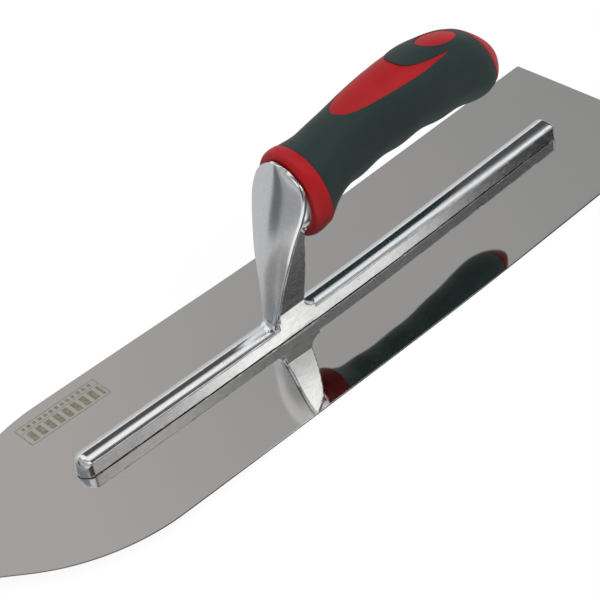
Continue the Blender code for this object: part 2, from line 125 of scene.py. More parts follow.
TONGUE = [
    (-111.4, 11.2), (-107.0, 11.0), (-103.0, 11.0), (-98.2, 10.8),
    (-93.4, 10.2), (-88.6, 9.2), (-84.4, 7.4), (-82.1, 4.6), (-81.4, 0.0),
]
OVAL_X, OVAL_A, OVAL_B = -113.0, 13.0, 7.1


# ------------------------------------------------------------------- helpers
def table_curve(table, column):
    """Smooth interpolation of one column of a table against its first."""
    rows = sorted(table)
    xs = np.array([row[0] for row in rows], float)
    ys = np.array([row[column] for row in rows], float)
    slopes = np.gradient(ys, xs)

    def value(x):
        x = np.clip(np.asarray(x, float), xs[0], xs[-1])
        i = np.clip(np.searchsorted(xs, x) - 1, 0, len(xs) - 2)
        h = xs[i + 1] - xs[i]
        t = (x - xs[i]) / h
        return (
            ys[i] * (2 * t**3 - 3 * t**2 + 1)
            + slopes[i] * h * (t**3 - 2 * t**2 + t)
            + ys[i + 1] * (3 * t**2 - 2 * t**3)
            + slopes[i + 1] * h * (t**3 - t**2)
        )

    return value


def mesh_object(name, points, faces, smooth=True):
    """An object from millimetre points; faces are tuples of indices."""
    mesh = bpy.data.meshes.new(name)
    mesh.from_pydata([tuple(p) for p in np.asarray(points, float) * MM], [], faces)
    mesh.validate()
    bm = bmesh.new()
    bm.from_mesh(mesh)
    bmesh.ops.recalc_face_normals(bm, faces=bm.faces)
    bm.to_mesh(mesh)
    bm.free()
    if smooth:
        mesh.shade_smooth()
    obj = bpy.data.objects.new(name, mesh)
    SCENE.collection.objects.link(obj)
    return obj


def tube_faces(rows, count, first=0, caps=True):
    """Faces of a grid of rings that closes round; ring k starts at first + k*count."""
    faces = []
    for k in range(rows - 1):
        for i in range(count):
            j = (i + 1) % count
            a, b = first + k * count, first + (k + 1) * count
            faces.append((a + i, a + j, b + j, b + i))
    if caps:
        faces.append(tuple(first + i for i in reversed(range(count))))
        faces.append(tuple(first + (rows - 1) * count + i for i in range(count)))
    return faces


def cut(obj, cutters, operation="DIFFERENCE"):
    """Applies exact Booleans and removes the cutters."""
    for other in cutters:
        mod = obj.modifiers.new("cut", "BOOLEAN")
        mod.operation = operation
        mod.solver = "EXACT"
        mod.object = other
    bpy.context.view_layer.update()
    graph = bpy.context.evaluated_depsgraph_get()
    mesh = bpy.data.meshes.new_from_object(obj.evaluated_get(graph))
    obj.modifiers.clear()
    obj.data = mesh
    for other in cutters:
        bpy.data.objects.remove(other, do_unlink=True)
    return obj


def prism(name, outline, z0, z1):
    n = len(outline)
    points = [(x, y, z0) for x, y in outline] + [(x, y, z1) for x, y in outline]
    return mesh_object(name, points, tube_faces(2, n), smooth=False)


def rod_cylinder(name, start, length, radius, sides=48):
    """A cylinder on the tang rod's axis."""
    axis = (ROD_B - ROD_A) / np.linalg.norm(ROD_B - ROD_A)
    side = np.array([0.0, 1.0, 0.0])
    up = np.cross(axis, side)
    points = []
    for d in (start, start + length):
        for i in range(sides):
            a = 2 * math.pi * i / sides
            points.append(ROD_A + axis * d + radius * (side * math.cos(a) + up * math.sin(a)))
    return mesh_object(name, points, tube_faces(2, sides), smooth=False)


def set_normals(obj, surface, within=0.02, agree=0.9):
    """Exact shading normals where a loop lies on an analytic surface.

    surface(points_mm) returns (offset, normals) arrays.  Other faces are
    shaded flat, so Boolean cuts leave no smears.
    """
    mesh = obj.data
    n_loops = len(mesh.loops)
    co = np.empty(len(mesh.vertices) * 3)
    mesh.vertices.foreach_get("co", co)
    co = co.reshape(-1, 3) / MM
    loop_vert = np.empty(n_loops, int)
    mesh.loops.foreach_get("vertex_index", loop_vert)
    face_n = np.empty(len(mesh.polygons) * 3)
    mesh.polygons.foreach_get("normal", face_n)
    face_n = face_n.reshape(-1, 3)
    totals = np.empty(len(mesh.polygons), int)
    mesh.polygons.foreach_get("loop_total", totals)
    loop_face_n = np.repeat(face_n, totals, axis=0)
    offset, normal = surface(co)
    normal = normal[loop_vert]
    good = (np.abs(offset[loop_vert]) < within) & (
        np.einsum("ij,ij->i", normal, loop_face_n) > agree
    )
    chosen = np.where(good[:, None], normal, loop_face_n)
    mesh.shade_smooth()
    mesh.normals_split_custom_set([tuple(v) for v in chosen])


def unit(v):
    return v / np.maximum(np.linalg.norm(v, axis=-1, keepdims=True), 1e-12)


# --------------------------------------------------------------------- blade
def camber(x):
    x = np.asarray(x, float)
    return CAMBER * (np.sqrt((x - CAMBER_X) ** 2 + CAMBER_SOFT**2) - CAMBER_SOFT)


def roll_factor(x):
    t = np.clip((-np.asarray(x, float) - 20.0) / 80.0, 0, 1)
    return ROLL * (1 + 0.30 * t * t * (3 - 2 * t))


def sheet_z(x, y):
    """Lower face of the blade."""
    edge = np.maximum(np.abs(y) - ROLL_START, 0.0)
    return camber(x) + BLADE_T - SHEET_T - ROLL_SHARE * roll_factor(x) * edge**2


def sheet_normal(x, y):
    """The polished faces' normal, which leans out slightly towards the long edges."""
    dx = CAMBER * (x - CAMBER_X) / np.sqrt((x - CAMBER_X) ** 2 + CAMBER_SOFT**2)
    edge = np.maximum(np.abs(y) - ROLL_START, 0.0)
    dy = -2 * roll_factor(x) * edge * np.sign(y)
    return unit(np.stack([-dx, -dy, np.ones_like(dx)], -1))


def nose_half_width(x):
    if x <= NOSE_START:
        return BLADE_W / 2 - WAIST * math.exp(-(((x + 12.0) / 62.0) ** 2))
    shoulder_end = NOSE_START + NOSE_R * math.sin(NOSE_FLANK)
    if x <= shoulder_end:
        return BLADE_W / 2 - NOSE_R + math.sqrt(NOSE_R**2 - (x - NOSE_START) ** 2)
    y_end = BLADE_W / 2 - NOSE_R * (1 - math.cos(NOSE_FLANK))
    centre = BLADE_L / 2 - TIP_R
    if x > centre + TIP_R * math.sin(NOSE_FLANK) * 0.999:
        return math.sqrt(max(TIP_R**2 - (x - centre) ** 2, 0.0))
    return y_end - (x - shoulder_end) * math.tan(NOSE_FLANK)


def build_blade():
    r = 0.07                                    # barely broken edges
    xs = list(HEEL_X + np.array([0.0, 0.15, 0.6, 1.0]))
    xs += list(np.linspace(HEEL_X + 5, NOSE_START, 90))
    xs += list(np.linspace(NOSE_START + 2, BLADE_L / 2 - 5, 56))
    xs += [BLADE_L / 2 - k for k in (3.6, 2.4, 1.5, 0.8, 0.3, 0.05)]
    n = 44
    across = np.linspace(-1, 1, n)
    rings = []
    for x in xs:
        w = nose_half_width(x)
        if x < HEEL_X + 1.0:
            w -= 1.0 - math.sqrt(max(1.0 - (HEEL_X + 1.0 - x) ** 2, 0))
        y_low = (w - r) * across
        y_high = (w - r) * across[::-1]
        zl = sheet_z(x, y_low)
        zh = sheet_z(x, y_high) + SHEET_T
        ring = [(x, y, z) for y, z in zip(y_low, zl)]
        z_edge = float(sheet_z(x, w))
        ring += [(x, w, z_edge + r), (x, w, z_edge + SHEET_T - r)]
        ring += [(x, y, z) for y, z in zip(y_high, zh)]
        ring += [(x, -w, z_edge + SHEET_T - r), (x, -w, z_edge + r)]
        rings.append(ring)
    count = len(rings[0])
    points = [p for ring in rings for p in ring]
    blade = mesh_object("blade_sheet", points, tube_faces(len(rings), count))
    cutters = []
    for number, x in enumerate(RIVET_X, 1):
        slope = CAMBER * (x - CAMBER_X) / math.hypot(x - CAMBER_X, CAMBER_SOFT)
        axis = np.array([-math.sin(math.atan(slope)), 0, math.cos(math.atan(slope))])
        side = np.cross(axis, (0, 1, 0))
        foot = np.array([x, 0, float(camber(x))])
        ring_points = []
        profile = [(3.2 + FIT, -1.0), (3.2 + FIT, 0.3), (2.0 + FIT, 1.0), (2.0 + FIT, 2.5)]
        for radius, d in profile:
            for i in range(40):
                a = 2 * math.pi * i / 40
                ring_points.append(
                    foot + axis * d
                    + radius * (side * math.cos(a) + np.array([0, 1, 0]) * math.sin(a))
                )
        cutters.append(mesh_object(f"hole_{number}", ring_points, tube_faces(4, 40), smooth=False))
    cut(blade, cutters)

    def surface(p):
        n_up = sheet_normal(p[:, 0], p[:, 1])
        low = p[:, 2] - sheet_z(p[:, 0], p[:, 1])
        high = low - SHEET_T
        top = np.abs(high) < np.abs(low)
        return np.where(top, high, low), np.where(top[:, None], n_up, -n_up)

    set_normals(blade, surface, within=0.04, agree=0.95)
    return blade


# ------------------------------------------------------------------- casting
def smin(a, b, k):
    h = np.maximum(k - np.abs(a - b), 0.0) / k
    return np.minimum(a, b) - h * h * k * 0.25


def smax(a, b, k):
    return -smin(-a, -b, k)


plate_w = table_curve(PLATE, 1)
PLATE_Z = np.array([r[0] for r in PLATE])
RIM_LINE = np.polyfit(PLATE_Z / 100, [r[2] for r in PLATE], 6)
FACE_LINE = np.polyfit(PLATE_Z / 100, [r[2] + r[3] for r in PLATE], 4)


def plate_x(z):
    return np.polyval(RIM_LINE, np.asarray(z) / 100)


def plate_b(z):
    return np.maximum(np.polyval(FACE_LINE, np.asarray(z) / 100) - plate_x(z), 0.2)


web_x = table_curve(WEB, 1)
boss_z, boss_h, boss_w = (table_curve(BOSS, k) for k in (1, 2, 3))


def block_w(up):
    """Half width of bar and foot, by height over the bar's base."""
    return BAR_W + DRAFT * (4.0 - up)


def web_w(z, up):
    """Half width of the web: drafted inwards up to the crease, then opening out."""
    start = block_w(CREASE_Z - 1.3)
    grow = (WEB_TOP_W - start) / (74.0 - CREASE_Z)
    return np.where(z < CREASE_Z, block_w(up), start + grow * (z - CREASE_Z))


def heel_x(z):
    """Rear edge of the web, flaring into the bar at its foot."""
    drop = np.clip(HEEL_Z + HEEL_R - z, 0.0, HEEL_R)
    return web_x(z) - HEEL_R + np.sqrt(HEEL_R**2 - drop**2)


# slope of the crown across the bar: rounded ridge, near-flat flanks, tight shoulder
CROWN_Y = [0.0, 0.3, 0.9, 2.6, 3.2, 4.5, 4.9, 6.4]
CROWN_TILT = [0.0, 17.0, 19.0, 26.5, 29.0, 32.0, 36.0, 37.5]
_RHO = np.linspace(0, 1, 241)
_FALL = np.tan(np.radians(np.interp(_RHO * BAR_W, CROWN_Y, CROWN_TILT))) * BAR_W
_FALL = np.concatenate([[0.0], np.cumsum((_FALL[1:] + _FALL[:-1]) / 2 * (_RHO[1] - _RHO[0]))])
CROWN_DROP = float(_FALL[-1])


def bar_field(x, y, z):
    base = camber(x) + BLADE_T + SEAT
    up = z - base
    ay = np.abs(y)
    # plan: round front end, square rear end with rounded corners
    front = np.hypot(np.maximum(x - (BAR_FRONT - BAR_W), 0), ay) - BAR_W
    lean = DRAFT * (np.clip(up, 0.0, 12.0) - 4.0)
    side_rho = np.maximum(np.maximum(front, ay - BAR_W) + lean + BAR_W, 1e-4)
    rear_rho = np.maximum(BAR_W + (BAR_REAR - x) * 1.8, 1e-4)
    rho = (side_rho**4 + rear_rho**4) ** 0.25 / BAR_W
    rho = np.where(x > BAR_REAR + 12.0, side_rho / BAR_W, rho)
    nose = np.clip((x - BAR_FRONT + BAR_W) / BAR_W, 0, 1)
    side = BAR_SIDE - NOSE_DROP * nose * nose * (3 - 2 * nose)
    # the crown keeps its full height at the nose, where its shoulder sinks
    crown = BAR_SIDE + CROWN_DROP - side
    ahead = BAR_W * np.clip((x - BAR_FRONT + BAR_W) / BAR_W, 0, 1.3) ** 1.9
    ridge = np.hypot(ahead, np.maximum(ay + lean, 0.0)) / BAR_W
    over = np.where(x > 0, ridge, rho)
    fall = np.interp(over, _RHO, _FALL) / CROWN_DROP
    past = np.maximum(over - 1.0, 0.0) * BAR_W * 0.75
    top = side + crown * (1 - fall) - past
    steep = (np.interp(over + 0.02, _RHO, _FALL) - np.interp(over - 0.02, _RHO, _FALL)) / (0.04 * BAR_W) * crown / CROWN_DROP
    d_top = (up - top) / np.sqrt(1 + steep**2)
    d_side = (rho - 1.0) * BAR_W
    d = smax(d_top, d_side, 0.3 + 1.6 * nose)
    return smax(d, -up, 0.35)


def casting_field(p):
    """Signed field of the mounting casting, about a distance in mm."""
    x, y, z = p[:, 0], p[:, 1], p[:, 2]
    ay = np.abs(y)
    bar = bar_field(x, y, z)
    base = camber(x) + BLADE_T + SEAT
    # web
    xf = np.minimum(plate_x(np.maximum(z, PLATE[0][0])) - 0.9, 18.4)
    drop = np.clip(TOE_Z + TOE_R - z, 0.0, 0.8 * TOE_R)
    xf = xf + TOE_R - np.sqrt(TOE_R**2 - drop**2)
    w = web_w(z, z - base)
    web = smax(ay - w, np.maximum(heel_x(z) - x, x - xf), 0.5)
    web = np.maximum(web, np.maximum(3.0 - z, z - 76.0))
    # front plate with its crowned face
    zp = np.clip(z, PLATE[0][0], PLATE[-1][0])
    pw = np.maximum(plate_w(zp), 0.6)
    slope = (plate_w(np.clip(zp + 0.3, PLATE[0][0], PLATE[-1][0])) - plate_w(np.clip(zp - 0.3, PLATE[0][0], PLATE[-1][0]))) / 0.6
    u = np.minimum(ay / pw, 1.15)
    face = plate_x(zp) + plate_b(zp) * (1 - u * u)
    tilt = np.sqrt(1 + (2 * plate_b(zp) * u / pw) ** 2 + 0.06)
    back = np.maximum(plate_x(zp) - np.minimum(PLATE_T, 1.2 + pw / 8), PLATE_BACK)
    d_face = (x - face) / tilt
    d_side = (ay - pw) / np.sqrt(1 + slope**2)
    plate = smax(smax(d_face, d_side, 0.9), back - x, 0.4)
    plate = smax(plate, z - PLATE[-1][0], 0.6)
    plate = np.maximum(plate, 9.0 - z)
    # boss towards the handle
    xb = np.clip(x, -12.0, 3.4)
    bh, bw = boss_h(xb), boss_w(xb)
    rr = np.sqrt((y / bw) ** 2 + ((z - boss_z(xb)) / bh) ** 2)
    boss = (rr - 1) * (bw + bh) / 2 * 0.95
    boss = smax(smax(boss, x - np.minimum(3.4, plate_x(zp) - 0.3), 0.4), -12.0 - x, 0.5)
    # joins, with cast fillets that fade out towards the flush sides
    up = z - base
    inner = np.clip((5.9 - ay) / 2.6, 0, 1)
    inner = inner * inner * (3 - 2 * inner)
    k = 0.02 + 1.2 * inner * np.clip((up - 6.5) / 1.5, 0, 1) * np.clip((22.0 - z) / 4.0, 0, 1)
    body = smin(bar, web, k)
    k = 0.25 + 3.6 * inner * np.clip((z - 8.0) / 4.0, 0, 1) * np.clip((24.0 - z) / 8.0, 0, 1)
    body = smin(body, plate, k)
    body = smin(body, boss, 1.2)
    # socket of the tang rod, blind rivet holes
    axis = (ROD_B - ROD_A) / np.linalg.norm(ROD_B - ROD_A)
    rel = p - ROD_A
    t = rel @ axis
    r = np.linalg.norm(rel - t[:, None] * axis, axis=1)
    body = smax(body, -np.maximum(r - (ROD_D / 2 + FIT), -FIT - t), 0.3)
    for rx in RIVET_X:
        near = np.abs(x - rx) < 6
        if near.any():
            slope_x = CAMBER * (rx - CAMBER_X) / math.hypot(rx - CAMBER_X, CAMBER_SOFT)
            ax = np.array([-math.sin(math.atan(slope_x)), 0, math.cos(math.atan(slope_x))])
            rel = p[near] - np.array([rx, 0, float(camber(rx))])
            t = rel @ ax
            r = np.linalg.norm(rel - t[:, None] * ax, axis=1)
            hole = np.maximum(r - (2.0 + FIT), t - 7.9)
            body[near] = smax(body[near], -hole, 0.2)
    return body


def field_gradient(field, p, e=0.02):
    g = np.empty_like(p)
    for k in range(3):
        d = np.zeros(3)
        d[k] = e
        g[:, k] = (field(p + d) - field(p - d)) / (2 * e)
    return g


def surface_net(name, field, boxes, h):
    """One closed mesh of field = 0: a surface net, drawn onto the surface."""
    lo = np.min([b[0] for b in boxes], axis=0) - 2 * h
    hi = np.max([b[1] for b in boxes], axis=0) + 2 * h
    dims = np.ceil((hi - lo) / h).astype(int) + 1
    values = np.full(dims, 5.0, np.float32)
    for b_lo, b_hi in boxes:
        a = np.maximum(np.floor((np.array(b_lo) - lo) / h).astype(int), 0)
        b = np.minimum(np.ceil((np.array(b_hi) - lo) / h).astype(int) + 1, dims)
        axes = [lo[k] + h * np.arange(a[k], b[k]) for k in range(3)]
        for i0 in range(0, len(axes[0]), 40):
            gx, gy, gz = np.meshgrid(axes[0][i0:i0 + 40], axes[1], axes[2], indexing="ij")
            pts = np.stack([gx.ravel(), gy.ravel(), gz.ravel()], 1)
            values[a[0] + i0:a[0] + i0 + gx.shape[0], a[1]:b[1], a[2]:b[2]] = field(pts).reshape(gx.shape)
    inside = values < 0
    corner_sum = np.zeros(dims - 1, np.int8)
    for dx in (0, 1):
        for dy in (0, 1):
            for dz in (0, 1):
                corner_sum += inside[dx:dims[0] - 1 + dx, dy:dims[1] - 1 + dy, dz:dims[2] - 1 + dz]
    cells = np.argwhere((corner_sum > 0) & (corner_sum < 8))
    index = np.full(dims - 1, -1, np.int64)
    index[tuple(cells.T)] = np.arange(len(cells))
    # vertex of each cell: mean of the crossings on its edges
    total = np.zeros((len(cells), 3))
    hits = np.zeros(len(cells))
    for axis in range(3):
        others = [k for k in range(3) if k != axis]
        for s in (0, 1):
            for t in (0, 1):
                a = cells.copy()
                a[:, others[0]] += s
                a[:, others[1]] += t
                b = a.copy()
                b[:, axis] += 1
                va, vb = values[tuple(a.T)], values[tuple(b.T)]
                cross = (va < 0) != (vb < 0)
                f = np.where(cross, va / np.where(va == vb, 1, va - vb), 0)
                f = np.clip(f, 0, 1)
                point = a.astype(float)
                point[:, axis] += f
                total[cross] += point[cross]
                hits[cross] += 1
    points = lo + h * total / hits[:, None]
    for _ in range(4):
        f = field(points)
        g = field_gradient(field, points)
        step = f[:, None] * g / np.maximum((g * g).sum(1), 0.05)[:, None]
        length = np.linalg.norm(step, axis=1, keepdims=True)
        points -= step * np.minimum(1, 0.5 * h / np.maximum(length, 1e-9))
    faces = []
    for axis in range(3):
        u, v = [k for k in range(3) if k != axis]
        a = inside[tuple(slice(0, dims[k] - 1) if k == axis else slice(1, dims[k] - 1) for k in range(3))]
        b = inside[tuple(slice(1, dims[k]) if k == axis else slice(1, dims[k] - 1) for k in range(3))]
        for sign in (True, False):
            here = np.argwhere((a & ~b) if sign else (~a & b))
            here[:, u] += 1
            here[:, v] += 1
            quad = []
            for du, dv in ((0, 0), (-1, 0), (-1, -1), (0, -1)):
                c = here.copy()
                c[:, u] += du
                c[:, v] += dv
                quad.append(index[tuple(c.T)])
            quad = np.stack(quad, 1)
            turn = (axis == 1) != sign
            faces.append(quad if turn else quad[:, ::-1])
    faces = np.concatenate(faces)
    a, b, c = points[faces[:, 0]], points[faces[:, 1]], points[faces[:, 2]]
    if np.einsum("ij,ij->i", a, np.cross(b, c)).sum() < 0:
        faces = faces[:, ::-1]
    mesh = bpy.data.meshes.new(name)
    mesh.from_pydata((points * MM).tolist(), [], faces.tolist())
    mesh.validate()
    mesh.shade_smooth()
    normals = unit(field_gradient(field, points, 0.05))
    mesh.normals_split_custom_set_from_vertices([tuple(v) for v in normals])
    obj = bpy.data.objects.new(name, mesh)
    SCENE.collection.objects.link(obj)
    return obj


def build_casting():
    h = 0.55
    boxes = [
        ((BAR_REAR - 2, -8, 0.5), (-4, 8, 18.0)),
        ((20, -8, 0.5), (BAR_FRONT + 2, 8, 19.5)),
        ((-14, -20, 0.0), (26, 20, 100.0)),
    ]
    return surface_net("mounting_casting_form", casting_field, boxes, h)


# -------------------------------------------------------------------- handle
handle_z, handle_h, handle_w, handle_lean = (table_curve(HANDLE, k) for k in (1, 2, 3, 4))


def finger_wave(x):
    fade = np.clip((-22.0 - x) / 14.0, 0, 1) * np.clip((x + 134.0) / 12.0, 0, 1)
    return -WAVE * fade * np.cos(2 * math.pi * (x - WAVE_CREST) / WAVE_PITCH)


def section(x, zc, h, w, lean, angles, wave=0.0):
    lean = np.radians(lean)
    c, s = np.cos(angles), np.sin(angles)
    cc = np.sign(c) * np.abs(c) ** (2 / SECTION_N)
    ss = np.sign(s) * np.abs(s) ** (2 / SECTION_N)
    up = h * ss + wave * np.maximum(-ss, 0) ** 0.8
    return np.stack([x + np.sin(lean) * up, w * cc, zc + np.cos(lean) * up], -1)


def handle_ring(x, angles, inset=0.0, waves=True):
    return section(
        x, handle_z(x), handle_h(x) - inset, handle_w(x) - inset, handle_lean(x),
        angles, finger_wave(x) if waves else 0.0,
    )


def handle_station(p):
    """Station and section coordinates of points near the handle's surface."""
    s = p[:, 0].copy()
    for _ in range(25):
        lean = np.radians(handle_lean(s))
        s = 0.5 * s + 0.5 * (p[:, 0] - np.tan(lean) * (p[:, 2] - handle_z(s)))
    lean = np.radians(handle_lean(s))
    return s, (p[:, 2] - handle_z(s)) / np.cos(lean)


def handle_field(p):
    s, up = handle_station(p)
    h, w = handle_h(s), handle_w(s)
    down = np.clip(-up / h, 0.0, 1.2)
    h_eff = h - finger_wave(s) * down**0.8
    q = (np.abs(p[:, 1]) / w) ** SECTION_N + (np.abs(up) / np.maximum(h_eff, 0.5)) ** SECTION_N
    q = q ** (1 / SECTION_N)
    return (q - 1) * (h + w) / 2


def crown_height(x, y, inset=0.0):
    """Height of the handle's upper surface over plan points (x, y)."""
    x, y = np.broadcast_arrays(np.asarray(x, float), np.asarray(y, float))
    s = x.copy()
    for _ in range(30):
        w, h, lean = handle_w(s) - inset, handle_h(s) - inset, np.radians(handle_lean(s))
        c = np.clip(np.abs(y) / w, 0, 0.999) ** SECTION_N
        up = h * (1 - c) ** (1 / SECTION_N)
        s = 0.5 * s + 0.5 * (x - np.sin(lean) * up)
    lean = np.radians(handle_lean(s))
    return handle_z(s) + np.cos(lean) * up


inlay_half = lambda x: np.interp(x, [r[0] for r in INLAY_OUTER][::-1], [r[1] for r in INLAY_OUTER][::-1])
tongue_half = lambda x: np.interp(x, [r[0] for r in TONGUE], [r[1] for r in TONGUE])


def smooth_outline(points, rounds=2):
    """Corner cutting that keeps the end points."""
    pts = [np.array(p, float) for p in points]
    for _ in range(rounds):
        new = [pts[0]]
        for a, b in zip(pts[:-1], pts[1:]):
            new += [0.75 * a + 0.25 * b, 0.25 * a + 0.75 * b]
        new.append(pts[-1])
        pts = new
    return pts


OUTER = smooth_outline(INLAY_OUTER)
INNER = smooth_outline(TONGUE)


def inlay_ring(shrink):
    """Closed plan outline of the inlay window."""
    right = [tuple(p) for p in OUTER] + [tuple(p) for p in INNER]
    ring = right + [(x, -y) for x, y in reversed(right)][1:-1]
    ring = np.array(ring)
    if shrink:
        a = np.roll(ring, 1, 0) - ring
        b = np.roll(ring, -1, 0) - ring
        direction = unit(np.roll(ring, -1, 0) - np.roll(ring, 1, 0))
        normal = np.stack([-direction[:, 1], direction[:, 0]], 1)
        area = 0.5 * np.sum(ring[:, 0] * np.roll(ring[:, 1], -1) - np.roll(ring[:, 0], -1) * ring[:, 1])
        ring = ring + normal * shrink * (1 if area > 0 else -1)
    return [tuple(p) for p in ring]


def oval_ring(shrink, count=64):
    return [
        (
            OVAL_X + (OVAL_A - shrink) * math.cos(2 * math.pi * i / count),
            (OVAL_B - shrink) * math.sin(2 * math.pi * i / count),
        )
        for i in range(count)
    ]


def raise_tongue(p):
    """How far the grip stands proud round the inlay, in mm."""
    x, y, z = p[..., 0], np.abs(p[..., 1]), p[..., 2]
    top = z > handle_z(x)
    inner = tongue_half(np.clip(x, -111.4, -81.4))
    outer = inlay_half(np.clip(x, -111.4, -40.4))
    margin = np.minimum(1.4, 0.5 * np.maximum(outer - inner, 0))
    zone = top & (y < inner + margin) & (x < -81.4 + 1.2)
    fade = np.clip((x + 116.0) / 22.0, 0, 1)
    return np.where(zone, 0.5 * fade * fade * (3 - 2 * fade), 0.0)


def build_grip():
    count = 120
    angles = 2 * math.pi * np.arange(count) / count + math.pi / count
    stations = [(GRIP_FRONT, 0.5), (GRIP_FRONT - 0.08, 0.16), (GRIP_FRONT - 0.4, 0.0)]
    stations += [(x, 0.0) for x in np.linspace(GRIP_FRONT - 1.2, CAP_X + 1.0, 132)]
    stations += [(CAP_X + 0.45, 0.02), (CAP_X + 0.15, 0.12), (CAP_X, 0.4)]
    rings = []
    for x, inset in stations:
        ring = handle_ring(x, angles, inset)
        direction = unit(ring - ring.mean(0))
        ring = ring + direction * raise_tongue(ring)[:, None]
        rings.append(ring)
    outer = len(rings)
    bore = np.linspace(CAP_X, GRIP_FRONT, 40)
    for x in bore:
        rings.append(handle_ring(x, angles, SKIN - 0.3, False))
    points = np.concatenate(rings)
    faces = tube_faces(len(rings), count, caps=False)
    last = (len(rings) - 1) * count
    for i in range(count):
        j = (i + 1) % count
        faces.append((last + i, last + j, j, i))
    grip = mesh_object("soft_grip_skin", points, faces)
    windows = [
        prism("window_1", inlay_ring(0.0), 93.0, 125.0),
        prism("window_2", oval_ring(0.0), 93.0, 125.0),
    ]
    cut(grip, windows)

    def surface(p):
        e = 0.03
        q = p - unit(np.stack([0 * p[:, 0], p[:, 1], p[:, 2] - handle_z(p[:, 0])], 1)) * raise_tongue(p)[:, None]
        f = handle_field(q)
        g = np.stack([(handle_field(q + d) - handle_field(q - d)) / (2 * e) for d in np.eye(3) * e], 1)
        return f, unit(g)

    set_normals(grip, surface, within=0.25, agree=0.93)
    return grip


def land(name, rows, inset, depth):
    """A closed raised land of the core: rows of (x, y-values), over the handle's
    upper surface; the top follows the handle, the foot sits in the core."""
    top, foot = [], []
    for x, ys in rows:
        z = crown_height(np.full(len(ys), x), ys)
        top += [(x, y, zz - inset) for y, zz in zip(ys, z)]
        foot += [(x, y, zz - inset - depth) for y, zz in zip(ys, z)]
    n, m = len(rows[0][1]), len(rows)
    k = len(top)
    faces = []
    for r in range(m - 1):
        for c in range(n - 1):
            a = r * n + c
            faces.append((a, a + 1, a + n + 1, a + n))
            faces.append((k + a, k + a + n, k + a + n + 1, k + a + 1))
    for c in range(n - 1):
        a, b = c, (m - 1) * n + c
        faces.append((a, k + a, k + a + 1, a + 1))
        faces.append((b, b + 1, k + b + 1, k + b))
    for r in range(m - 1):
        a, b = r * n, r * n + n - 1
        faces.append((a, a + n, k + a + n, k + a))
        faces.append((b, k + b, k + b + n, b + n))
    obj = mesh_object(name, top + foot, faces)

    def surface(p):
        e = 0.05
        z = crown_height(p[:, 0], p[:, 1])
        gx = (crown_height(p[:, 0] + e, p[:, 1]) - crown_height(p[:, 0] - e, p[:, 1])) / (2 * e)
        gy = (crown_height(p[:, 0], p[:, 1] + e) - crown_height(p[:, 0], p[:, 1] - e)) / (2 * e)
        return p[:, 2] - (z - inset), unit(np.stack([-gx, -gy, np.ones_like(gx)], 1))

    set_normals(obj, surface, within=0.03, agree=0.8)
    return obj


